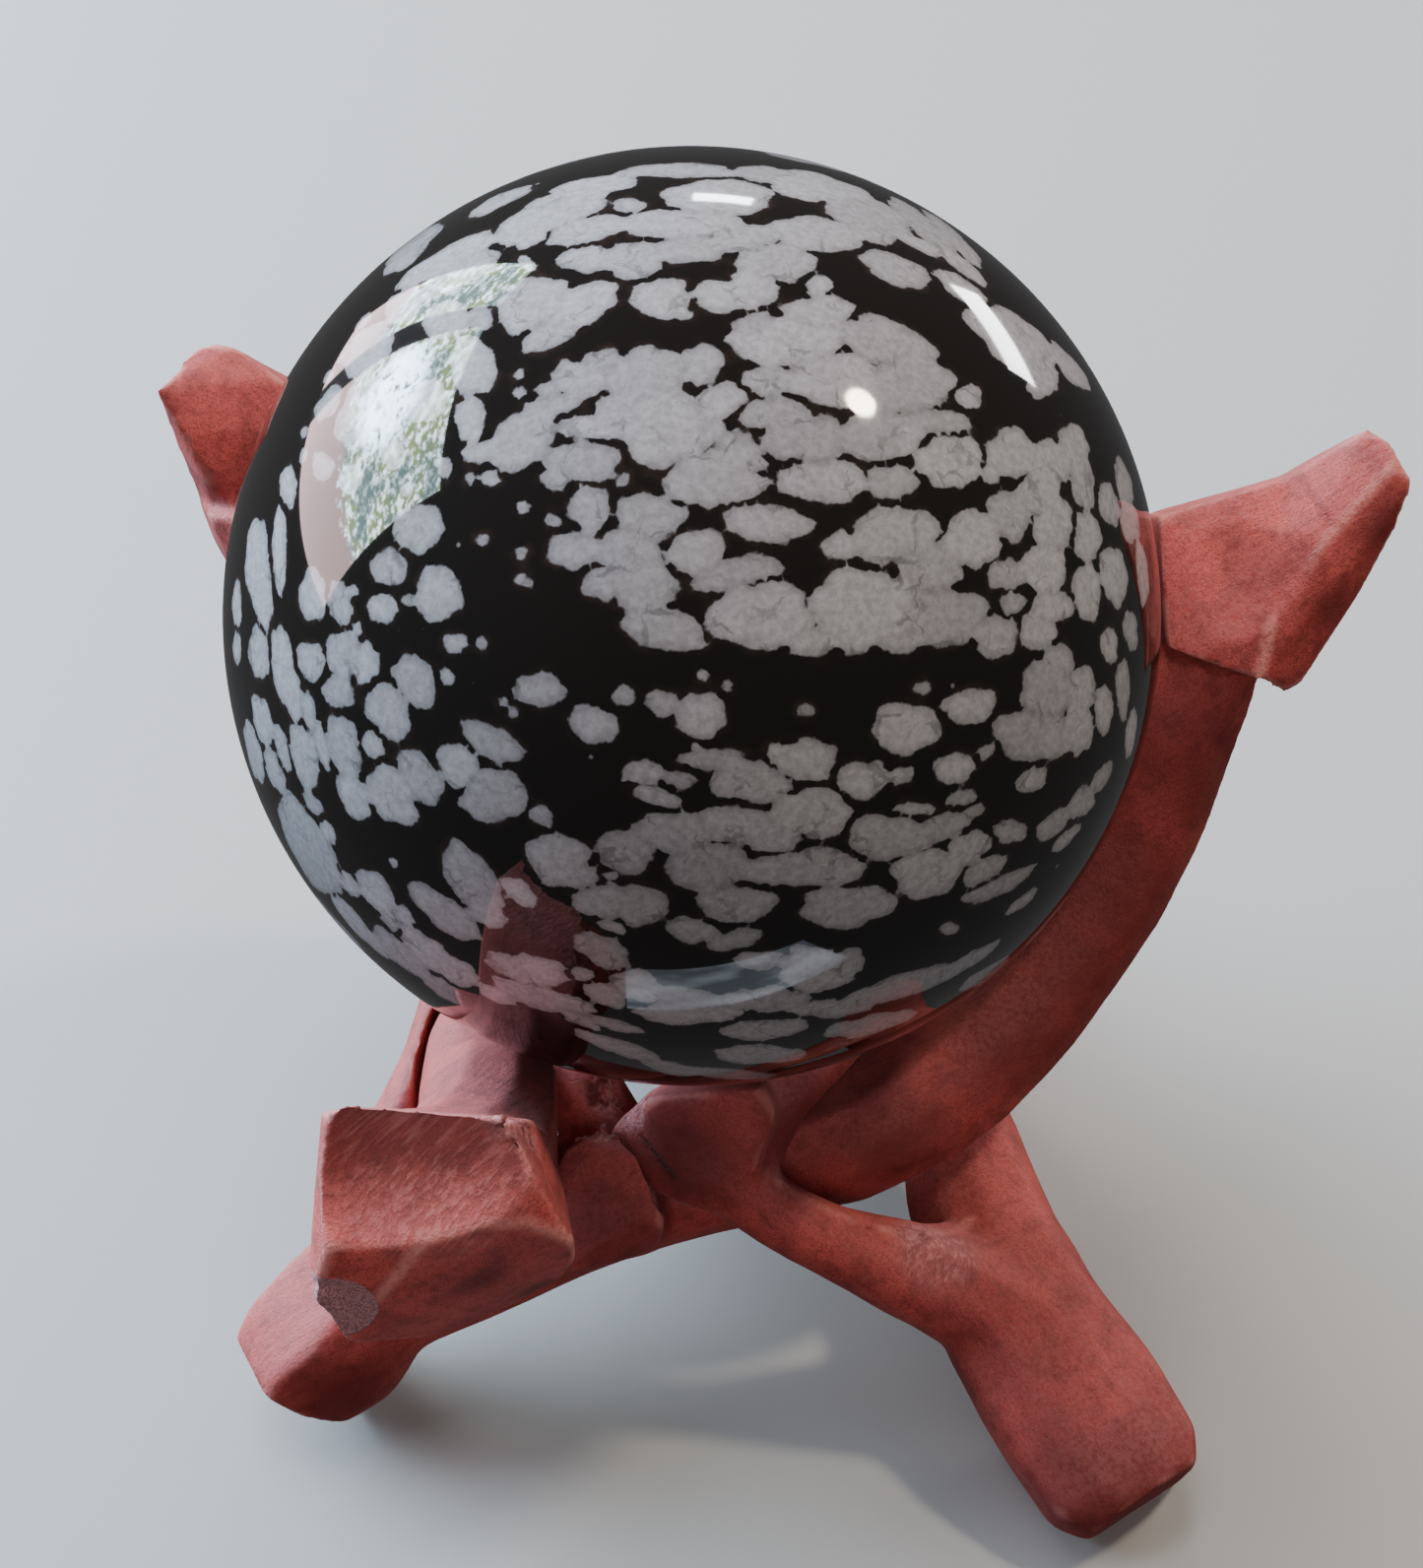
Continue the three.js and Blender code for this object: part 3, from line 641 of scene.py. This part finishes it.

# Places are in mm. Most marks are a place with its reach. A crack has its two ends and how dark it
# is, and a worn line its two ends. The grain is turned by three angles in degrees, and the shift
# keeps the legs from having the same pattern. The bright marks are partly stain and partly painted
# light, the deep ones partly stain and partly painted shade, such as the ball's shadow on the right leg's
# bar.
legs = [
    {"solid": "right_leg", "name": "rightLegCarved", "headFrom": 43, "grain": (0, -35, 12), "shift": 3.0,
     "torn": [((-11.8, -12.8, 20.8), 2.2), ((-13.6, -12.6, 20.0), 2.0), ((-11.6, -9.4, 19.6), 2.0)],
     "chipped": [],
     "sawn": [],
     # bright marks: stain and painted light on head A's top; deep marks: mostly painted shade, the ball's
     # shadow on the bar and the shade below head A
     "bright": [((30, 3.5, 48.5), 3.0), ((33, 9, 57), 5.0), ((28, 8, 54), 4.0)],
     "deep": [((29, 0.8, 40), 8), ((40.5, 6.2, 56.5), 4.8), ((37.5, 3.4, 52.2), 4.4), ((24, -4, 33), 10),
              ((20.5, -7, 29.5), 9), ((17, -9, 26), 10), ((8, -14, 20), 7), ((-12, -17, 15), 7),
              ((-30, -26, 6), 7)],
     "blunt": [],
     "cracks": [((34.6, 11.6, 58.3), (36.4, 6.8, 57.0), 0.4),
                ((-9.8, -16.4, 19.6), (-10.6, -17.8, 17.4), 0.9)],
     "worn": [((40.4, 9.1, 60), (33, 3.8, 54)), ((33, 3.8, 54), (31.9, 0.6, 48.9))]},
    {"solid": "back_leg", "name": "backLegCarved", "headFrom": 43, "grain": (0, -30, 135), "shift": 47.0,
     "torn": [((-10.2, -13.0, 22.2), 2.2), ((9.4, -19.4, 16.6), 1.5), ((6.3, -19.4, 18.0), 0.9)],
     "chipped": [],
     "sawn": [((11, -20.5, 16), 4.0)],
     # bright marks: stain and painted light; deep marks at the crossing: painted shade
     "bright": [((-39, 18.5, 56), 6.0), ((17.5, -14, 13.5), 5.0), ((22, -29, 11), 4.0)],
     "deep": [((1.5, -14.5, 22), 7), ((-6, -16.5, 21.5), 7), ((23, -33, 6), 11)],
     "blunt": [],
     "cracks": [((-9.2, -15.0, 21.3), (-7.0, -17.6, 20.2), 0.9)],
     "worn": [((0.4, -18.2, 20.5), (3.4, -19.1, 19.1)), ((3.4, -19.1, 19.1), (6.1, -19.6, 17.9)),
              ((6.1, -19.6, 17.9), (8.8, -19.7, 17.0)), ((8.8, -19.7, 17.0), (11.4, -18.5, 15.5)),
              ((11.4, -18.5, 15.5), (13.7, -16.3, 13.6))]},
    {"solid": "front_leg", "name": "frontLegCarved", "headFrom": 28.5, "grain": (0, -35, 250), "shift": 91.0,
     "torn": [((-20.4, -39.1, 53.0), 0.8), ((-18.8, -38.8, 52.4), 1.2), ((-17.2, -38.5, 51.8), 1.6),
              ((-15.6, -37.4, 50.2), 2.2), ((-14.8, -33.5, 45.5), 2.4), ((-14.2, -29.5, 40.5), 2.6)],
     "chipped": [((-26.2, -42.6, 39.6), 2.9)],
     "sawn": [((-20, -38.5, 48.5), 8.0)],
     # bright marks on head C's scoop: painted light as much as stain
     "bright": [((-20, -40.5, 45.5), 7), ((-14, -39.5, 44.5), 4), ((-24.6, -42.3, 43), 4),
                ((-18, -38, 49), 5)],
     "deep": [((-12, -34, 41), 3), ((-15, -37, 34), 3), ((-17.5, -40.5, 39.5), 3), ((-15.4, -37, 48.6), 3.5)],
     "blunt": [((-24.5, -39.8, 54.5), 6.0)],
     "cracks": [],
     "worn": [((-24.5, -39.8, 54.5), (-25.2, -41.8, 47.7)), ((-25.2, -41.8, 47.7), (-26.6, -42.3, 43)),
              ((-23.5, -42.5, 40.5), (-20.8, -41.4, 44.4)), ((-20.8, -41.4, 44.4), (-18.1, -40.9, 45.2)),
              ((-18.1, -40.9, 45.2), (-14.9, -39.8, 43.9)), ((-14.9, -39.8, 43.9), (-12.4, -38.6, 40.5))]},
]

marksOfWood = ["Edge", "Tint", "Torn", "Chipped", "Sawn", "Crack", "Worn"]
stainedWood, given, result = newGroup(
    "stainedWood",
    [("Place", "Vector", None), ("Along", "Vector", None), ("Facing", "Float", 0.0)]
    + [(label, "Float", 0.0) for label in marksOfWood],
    [("Color", "Color"), ("Height", "Float"), ("Roughness", "Float")],
)
tree = stainedWood
stretched = tree.nodes.new("ShaderNodeMapping")
stretched.inputs["Scale"].default_value = legLook["fibreGrain"]
feed(tree, given["Along"], stretched.inputs["Vector"])
fibre = noiseOf(tree, stretched.outputs["Vector"], 1.0, 5.0, 0.62)
sawTurn = tree.nodes.new("ShaderNodeMapping")
sawTurn.vector_type = "TEXTURE"
sawTurn.inputs["Rotation"].default_value = (0, math.radians(legLook["sawTurn"]), 0)
sawTurn.inputs["Scale"].default_value = legLook["sawSize"]
feed(tree, given["Place"], sawTurn.inputs["Vector"])
sawTooth = noiseOf(tree, sawTurn.outputs["Vector"], 1.0, 3.0, 0.55)
patch = noiseOf(tree, given["Place"], legLook["patchGrain"], 2.0, 0.5)
blotch = noiseOf(tree, given["Place"], legLook["blotchGrain"], 3.0, 0.6)
powder = noiseOf(tree, given["Place"], legLook["powderGrain"], 4.0, 0.7)
speckle = noiseOf(tree, given["Place"], legLook["speckleGrain"], 2.0, 0.6)

# what is dusty (with painted light on upward faces), rubbed, sawn, bruised or torn, each broken up by the
# patterns
# upward faces paler: dust, and painted light from above
upward = rangeOf(tree, given["Facing"], 0.2, 0.95, 0.01, 0.22)
dustAndTopLight = productOf(tree, upward, rangeOf(tree, powder, 0.34, 0.62, 0.35, 1.0))
wornEdge = rangeOf(tree, given["Edge"], 0.55, 1.05, 0.0, legLook["wornEdgeMost"])
wornEdge = productOf(tree, wornEdge, rangeOf(tree, blotch, 0.3, 0.55))
rubbed = rangeOf(tree, given["Worn"], 0.1, 0.9, 0.0, legLook["rubbedMost"])
rubbed = productOf(tree, rubbed, rangeOf(tree, powder, 0.32, 0.55, 0.3, 1.0))
sawn = productOf(tree, given["Sawn"], rangeOf(tree, sawTooth, 0.44, 0.62))
sawLight = productOf(tree, given["Sawn"], rangeOf(tree, sawTooth, 0.52, 0.30, 0.22, 0.62))
bruised = rangeOf(tree, mathOf(tree, "MULTIPLY_ADD", powder, 0.9, given["Chipped"]), 0.75, 1.0, 0.0, 0.9)
tornPale = productOf(tree, given["Torn"], rangeOf(tree, powder, 0.36, 0.60, 0.0, 0.7))
tornDark = productOf(tree, given["Torn"], rangeOf(tree, blotch, 0.46, 0.60, 0.0, 0.8))

# the stain, with painted light and painted shade mixed into it, from the bottom layer up
layers = [
    ("paleStainAndPaintedLight", rangeOf(tree, patch, 0.38, 0.66, 0.0, legLook["patchMost"])),
    # the tint: bright marks are partly stain and partly painted light, deep marks partly stain and partly
    # painted shade
    ("paleStainAndPaintedLight", rangeOf(tree, given["Tint"], 0.0, 1.0, 0.0, legLook["paleTintAndLightMost"])),
    ("darkStainAndPaintedShade", rangeOf(tree, given["Tint"], 0.0, -1.0, 0.0, legLook["darkTintAndShadeMost"])),
    ("darkStainAndPaintedShade", rangeOf(tree, blotch, 0.44, 0.70, 0.0, legLook["blotchMost"])),
    ("darkStainAndPaintedShade", rangeOf(tree, fibre, 0.48, 0.74, 0.0, legLook["fibreMost"])),
    ("darkStainAndPaintedShade", rangeOf(tree, speckle, 0.46, 0.64, 0.0, legLook["speckleMost"])),
    ("dust", dustAndTopLight),
    ("bareEdge", wornEdge),
    ("bareEdge", rubbed),
    # hollows and creases darker: denser stain there, and painted shade
    ("darkStainAndPaintedShade", rangeOf(tree, given["Edge"], -1.0, -0.45, legLook["hollowStainAndShadeMost"], 0.0)),
    ("darkStainAndPaintedShade", productOf(tree, sawn, legLook["sawnMost"])),
    ("dust", sawLight),
    ("bruise", bruised),
    ("darkStainAndPaintedShade", productOf(tree, bruised, rangeOf(tree, speckle, 0.44, 0.58, 0.0, 0.6))),
    ("dust", tornPale),
    ("darkStainAndPaintedShade", tornDark),
    ("crackColour", productOf(tree, given["Crack"], legLook["crackMost"])),
]
colour = legLook["stain"]
for name, amount in layers:
    colour = mixOf(tree, amount, colour, legLook[name])
feed(tree, colour, result["Color"])

broken = mathOf(tree, "MAXIMUM", given["Torn"], bruised)
rough = mathOf(tree, "MULTIPLY_ADD", broken, legLook["roughHeight"], legLook["wholeHeight"])
height = productOf(tree, powder, rough)
height = mathOf(tree, "MULTIPLY_ADD", fibre, legLook["fibreHeight"], height)
height = mathOf(tree, "MULTIPLY_ADD", speckle, legLook["speckleHeight"], height)
height = mathOf(tree, "SUBTRACT", height, productOf(tree, sawn, legLook["sawnHeight"]))
height = mathOf(tree, "SUBTRACT", height, productOf(tree, given["Crack"], legLook["crackHeight"]))
feed(tree, height, result["Height"])
feed(tree, rangeOf(tree, powder, 0.3, 0.7, 0.62, 0.86), result["Roughness"])


# one at a mark's middle and zero beyond its reach; softness is the share of the reach that fades
def nearTo(points, marks, softness=0.35):
    near = np.zeros(len(points))
    for place, reach in marks:
        away = np.linalg.norm(points - np.array(place), axis=1)
        near = np.maximum(near, np.clip((reach - away) / (reach * softness), 0, 1))
    return near * near * (3 - 2 * near)


def nearLine(points, start, end):
    start, end = np.array(start), np.array(end)
    run = end - start
    t = np.clip((points - start) @ run / (run @ run), 0, 1)
    return np.linalg.norm(points - start - t[:, None] * run, axis=1)


def weigh(piece, name, weights):
    levels = 20                    # a weight is rounded to one of these, to fill the group quickly
    group = piece.vertex_groups.new(name=name)
    steps = np.rint(np.asarray(weights) * levels).astype(int)
    for step in range(1, levels + 1):
        chosen = np.flatnonzero(steps == step).tolist()
        if chosen:
            group.add(chosen, step / levels, "REPLACE")


def smooth(piece, name, steps, within=""):
    modifier = piece.modifiers.new(name, "SMOOTH")
    modifier.vertex_group = within
    modifier.factor = legLook["rubbed"]
    modifier.iterations = steps


def displace(piece, name, texture, depth, level, within=""):
    modifier = piece.modifiers.new(name, "DISPLACE")
    modifier.vertex_group = within
    modifier.texture = texture
    modifier.strength = depth * mm
    modifier.mid_level = level


# remeshing leaves crumbs beside thin points: only what hangs together with the sole stays
def dropCrumbs(piece):
    lowest = int(np.argmin(pointsOf(piece)[:, 2]))
    bpy.ops.object.mode_set(mode="EDIT")
    bpy.ops.mesh.select_mode(type="VERT")
    bpy.ops.mesh.select_all(action="DESELECT")
    bpy.ops.object.mode_set(mode="OBJECT")
    piece.data.vertices[lowest].select = True
    bpy.ops.object.mode_set(mode="EDIT")
    bpy.ops.mesh.select_linked()
    bpy.ops.mesh.select_all(action="INVERT")
    bpy.ops.mesh.delete(type="VERT")
    bpy.ops.object.mode_set(mode="OBJECT")


# how sharply the surface turns at each point: above zero on ridges, below in hollows
def sharpness(piece):
    mesh = piece.data
    points = pointsOf(piece)
    normals = np.empty(len(points) * 3)
    mesh.vertices.foreach_get("normal", normals)
    normals = normals.reshape(-1, 3)
    edges = np.empty(len(mesh.edges) * 2, np.int32)
    mesh.edges.foreach_get("vertices", edges)
    edges = edges.reshape(-1, 2)
    count = np.bincount(edges.ravel(), minlength=len(points))[:, None]
    level = points.copy()
    for smoothing in range(legLook["wearSteps"]):
        total = np.zeros_like(level)
        for axis in range(3):
            total[:, axis] += np.bincount(edges[:, 0], level[edges[:, 1], axis], len(points))
            total[:, axis] += np.bincount(edges[:, 1], level[edges[:, 0], axis], len(points))
        level = total / np.maximum(count, 1)
    return ((points - level) * normals).sum(1) / (legLook["wearDepth"] * mm)


scallops = bpy.data.textures.new("knifeHollows", "VORONOI")
scallops.noise_scale = legLook["scallopWidth"] * mm
scallops.distance_metric = "DISTANCE_SQUARED"
splinters = bpy.data.textures.new("splinters", "CLOUDS")
splinters.noise_scale = legLook["tornGrain"] * mm
splinters.noise_depth = 2
for plan in legs:
    leg = bpy.data.objects.new(plan["name"], frame["nodes"][plan["solid"]].data.copy())
    bpy.context.scene.collection.objects.link(leg)
    leg.data.name = plan["name"]
    workOn(leg)
    bpy.ops.object.mode_set(mode="EDIT")
    bpy.ops.mesh.select_all(action="SELECT")
    bpy.ops.mesh.remove_doubles(threshold=legLook["doublesWithin"] * mm)
    bpy.ops.object.mode_set(mode="OBJECT")
    remesh = leg.modifiers.new("even faces", "REMESH")
    remesh.mode = "VOXEL"
    remesh.voxel_size = legLook["voxel"] * mm
    applyModifiers(leg)
    dropCrumbs(leg)

    # the head keeps its knife edges, the bar is rubbed round
    places = pointsOf(leg) / mm
    torn, chipped = nearTo(places, plan["torn"]), nearTo(places, plan["chipped"])
    weigh(leg, "bar", np.clip((plan["headFrom"] - places[:, 2]) / legLook["headFade"], 0, 1))
    weigh(leg, "torn", np.maximum(torn, legLook["chippedShare"] * chipped))
    weigh(leg, "blunt", nearTo(places, plan["blunt"], 1.0))
    smooth(leg, "rubbed bar", legLook["softBars"], "bar")
    smooth(leg, "soft edges", legLook["softEdges"])
    smooth(leg, "blunt corner", legLook["bluntCorner"], "blunt")
    displace(leg, "knife hollows", scallops, legLook["scallop"], 1.0)
    displace(leg, "torn wood", splinters, legLook["tornDepth"], legLook["tornLevel"], "torn")
    smooth(leg, "settled fibres", legLook["settled"])    # takes off the stray points on thin crests
    applyModifiers(leg)
    leg.vertex_groups.clear()
    bpy.ops.object.shade_smooth()

    # what the material reads off the mesh
    places = pointsOf(leg) / mm
    crack, worn = np.zeros(len(places)), np.zeros(len(places))
    for start, end, dark in plan["cracks"]:
        away = nearLine(places, start, end) / legLook["crackWidth"]
        crack = np.maximum(crack, dark * np.clip(1 - away, 0, 1))
    for start, end in plan["worn"]:
        away = nearLine(places, start, end) / legLook["wornWidth"]
        worn = np.maximum(worn, np.clip(1 - away, 0, 1))
    marks = {
        "Edge": np.clip(sharpness(leg) - legLook["wearFrom"], -1, 1),
        # tint: painted light with stain in the bright marks, painted shade with stain in the deep marks
        "Tint": nearTo(places, plan["bright"], 1.0) - nearTo(places, plan["deep"], 1.0),
        "Torn": nearTo(places, plan["torn"]),
        "Chipped": nearTo(places, plan["chipped"], 0.2),
        "Sawn": nearTo(places, plan["sawn"], 0.6),
        "Crack": crack,
        "Worn": worn,
    }
    for label in marksOfWood:
        keepOnMesh(leg, "wood" + label, marks[label])

    wood, tree, shader = newMaterial("stainedWood" + plan["name"][:1].upper() + plan["name"][1:])
    where = tree.nodes.new("ShaderNodeTexCoord").outputs["Object"]
    inMm = tree.nodes.new("ShaderNodeMapping")
    inMm.inputs["Scale"].default_value = (1 / mm,) * 3
    inMm.inputs["Location"].default_value = (plan["shift"], plan["shift"] * 0.7, plan["shift"] * 1.3)
    feed(tree, where, inMm.inputs["Vector"])
    grain = tree.nodes.new("ShaderNodeMapping")
    grain.vector_type = "TEXTURE"
    grain.inputs["Rotation"].default_value = [math.radians(a) for a in plan["grain"]]
    feed(tree, inMm.outputs["Vector"], grain.inputs["Vector"])
    facing = separate(tree, tree.nodes.new("ShaderNodeNewGeometry").outputs["Normal"])
    read = {label: fromMesh(tree, "wood" + label) for label in marksOfWood}
    look = placeGroup(tree, stainedWood, Place=inMm.outputs["Vector"], Along=grain.outputs["Vector"],
                      Facing=facing["Z"], **read)
    feed(tree, look["Color"], shader.inputs["Base Color"])
    feed(tree, look["Roughness"], shader.inputs["Roughness"])
    shader.inputs["Specular IOR Level"].default_value = legLook["specular"]
    shader.inputs["Sheen Weight"].default_value = legLook["sheen"]
    relief = tree.nodes.new("ShaderNodeBump")
    relief.inputs["Strength"].default_value = legLook["bump"]
    relief.inputs["Distance"].default_value = legLook["bumpDepth"] * mm
    feed(tree, look["Height"], relief.inputs["Height"])
    feed(tree, relief.outputs["Normal"], shader.inputs["Normal"])
    leg.data.materials.clear()
    leg.data.materials.append(wood)
    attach(leg, "root")
    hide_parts(plan["solid"])
    print(plan["name"], "carved,", len(leg.data.polygons), "faces")

studio = {
    "tableSize": 3.0,              # m
    "tableDrop": 0.02 * mm,        # the soles stand just above it
    "tableRoughness": 0.7,
    "tableColour": (0.40, 0.39, 0.38, 1),
    "roomColour": (0.60, 0.60, 0.62, 1),
    "roomStrength": 0.16,
}
deselectAll()
bpy.ops.mesh.primitive_plane_add(size=studio["tableSize"], location=(0, 0, -studio["tableDrop"]))
table = bpy.context.object
table.name = "table"
bpy.ops.object.transform_apply(location=True)
tableTop, tree, shader = newMaterial("paleTable")
feed(tree, studio["tableColour"], shader.inputs["Base Color"])
shader.inputs["Roughness"].default_value = studio["tableRoughness"]
table.data.materials.append(tableTop)
table.visible_glossy = False      # the ball would mirror it, and look milky
table.visible_diffuse = False     # the undersides stay dark, as over a dark table

room = bpy.data.worlds.new("room")
bpy.context.scene.world = room
room.use_nodes = True
roomLight = room.node_tree.nodes["Background"].inputs
roomLight["Color"].default_value = studio["roomColour"]
roomLight["Strength"].default_value = studio["roomStrength"]


# a lamp looks at the ball from a direction and a distance in m; its size is in m and its power in W
def addLamp(name, towards, distance, size, power, colour, shape="RECTANGLE", aside=0.0, mirrored=True):
    lamp = bpy.data.lights.new(name, "AREA")
    lamp.shape = shape
    lamp.size, lamp.size_y = size
    lamp.energy = power
    lamp.color = colour
    holder = bpy.data.objects.new(name, lamp)
    bpy.context.scene.collection.objects.link(holder)
    direction = Vector(towards).normalized()
    turned = (-direction).to_track_quat("-Z", "Y")
    holder.location = ballMiddle + direction * distance + turned @ Vector((aside, 0, 0))
    holder.rotation_euler = turned.to_euler()
    holder.visible_glossy = mirrored


windowSide = (-0.815, 0.478, 0.327)
addLamp("window, wide pane", windowSide, 0.6, (0.41, 0.44), 11.5, (0.58, 0.78, 1.0), aside=0.095)
addLamp("window, narrow pane", windowSide, 0.6, (0.13, 0.40), 3.0, (0.80, 0.93, 0.95), aside=-0.235)
addLamp("ceiling lamp", (0.559, 0.14, 0.817), 0.7, (0.075, 0.075), 2.4, (1.0, 0.86, 0.68), "DISK")
addLamp("far window", (0.07, 0.915, 0.396), 0.8, (0.10, 0.05), 0.8, (0.92, 0.97, 1.0))
addLamp("right window", (0.66, 0.73, 0.19), 0.8, (0.22, 0.09), 2.2, (0.95, 0.97, 1.0))
addLamp("soft sky", (-0.25, 0.30, 0.92), 0.7, (0.5, 0.5), 5.5, (0.96, 0.93, 1.0), mirrored=False)
addLamp("soft front", (0.10, -0.88, 0.46), 0.9, (0.7, 0.7), 2.3, (1.0, 0.90, 0.86), mirrored=False)
print("table, windows and lamps placed")


# a glowing card that is only seen mirrored, and lights nothing itself
def addCard(name, place, turned, size, strength):
    deselectAll()
    bpy.ops.mesh.primitive_plane_add(size=1.0)
    card = bpy.context.object
    card.name = name
    card.data.transform(Matrix.LocRotScale(place, turned, Vector((size[0], size[1], 1.0))))
    card.visible_camera = False
    card.visible_diffuse = False
    card.visible_shadow = False
    look, tree, shader = newMaterial(name)
    shader.inputs["Base Color"].default_value = (0, 0, 0, 1)
    shader.inputs["Emission Strength"].default_value = strength
    card.data.materials.append(look)
    return tree, shader


# the garden behind the window: sizes in m, while across, up and the bar count from 0 to 1 over the card
garden = {
    "size": (0.60, 0.44), "away": 0.595, "strength": 24.0,
    "clumpGrain": 5.0, "twigGrain": 26.0, "ragged": 0.04,
    "curtain": (0.42, 0.31, 0.32, 1), "curtainTo": 0.30, "curtainFades": 0.36,
    "leaves": (0.27, 0.38, 0.17, 1), "shade": (0.14, 0.22, 0.22, 1),
    "sky": (1.45, 1.75, 2.0, 1),
    "brightSky": (2.3, 3.1, 4.0, 1), "brightAcross": 0.50, "brightUp": 0.60,
    "bar": (0.010, 0.011, 0.014, 1), "barFrom": 0.212, "barTo": 0.322, "barSoft": 0.010,
}
facing = Vector(windowSide).normalized()
tree, shader = addCard("gardenView", ballMiddle + facing * garden["away"],
                       (-facing).to_track_quat("-Z", "Y"), garden["size"], garden["strength"])
pane = tree.nodes.new("ShaderNodeTexCoord").outputs["UV"]
onPane = separate(tree, pane)
across, up = onPane["X"], onPane["Y"]
clumps = noiseOf(tree, pane, garden["clumpGrain"], 3.0, 0.6)
twigs = noiseOf(tree, pane, garden["twigGrain"], 4.0, 0.7)
outside = mixOf(tree, rangeOf(tree, clumps, 0.42, 0.58), garden["shade"], garden["leaves"])
thinLeaves = rangeOf(tree, clumps, 0.36, 0.56, 0.2, 1.0)
glimpse = productOf(tree, rangeOf(tree, twigs, 0.47, 0.60), thinLeaves)
outside = mixOf(tree, glimpse, outside, garden["sky"])
aside = mathOf(tree, "SUBTRACT", across, garden["brightAcross"])
above = mathOf(tree, "SUBTRACT", up, garden["brightUp"])
fromBright = mathOf(tree, "ADD", productOf(tree, aside, aside), productOf(tree, above, above))
bright = rangeOf(tree, fromBright, 0.008, 0.05, 1.0, 0.0)
bright = productOf(tree, bright, rangeOf(tree, twigs, 0.36, 0.50))
outside = mixOf(tree, bright, outside, garden["brightSky"])
leafyEdge = rangeOf(tree, twigs, 0.3, 0.7, -garden["ragged"], garden["ragged"])
leafyEdge = mathOf(tree, "ADD", up, leafyEdge)
behindCurtain = rangeOf(tree, leafyEdge, garden["curtainFades"], garden["curtainTo"])
outside = mixOf(tree, behindCurtain, outside, garden["curtain"])
pastStart = rangeOf(tree, across, garden["barFrom"], garden["barFrom"] + garden["barSoft"])
beforeEnd = rangeOf(tree, across, garden["barTo"], garden["barTo"] - garden["barSoft"])
overBar = productOf(tree, pastStart, beforeEnd)
feed(tree, mixOf(tree, overBar, outside, garden["bar"]), shader.inputs["Emission Color"])

# a pale sheet that lies on the table in front of the stand, in m and degrees
sheet = {
    "place": (0.004, -0.064, 0.0006), "turn": -12, "size": (0.050, 0.022), "strength": 2.1,
    "creaseGrain": 2.4, "shade": (0.30, 0.36, 0.44, 1), "paper": (0.80, 0.92, 1.05, 1),
}
lying = Euler((0, 0, math.radians(sheet["turn"]))).to_quaternion()
tree, shader = addCard("sheetOnTable", Vector(sheet["place"]), lying, sheet["size"], sheet["strength"])
onSheet = tree.nodes.new("ShaderNodeTexCoord").outputs["UV"]
creases = rangeOf(tree, noiseOf(tree, onSheet, sheet["creaseGrain"], 2.0, 0.5), 0.40, 0.62)
feed(tree, mixOf(tree, creases, sheet["shade"], sheet["paper"]), shader.inputs["Emission Color"])
print("garden and sheet set up for the mirror image")
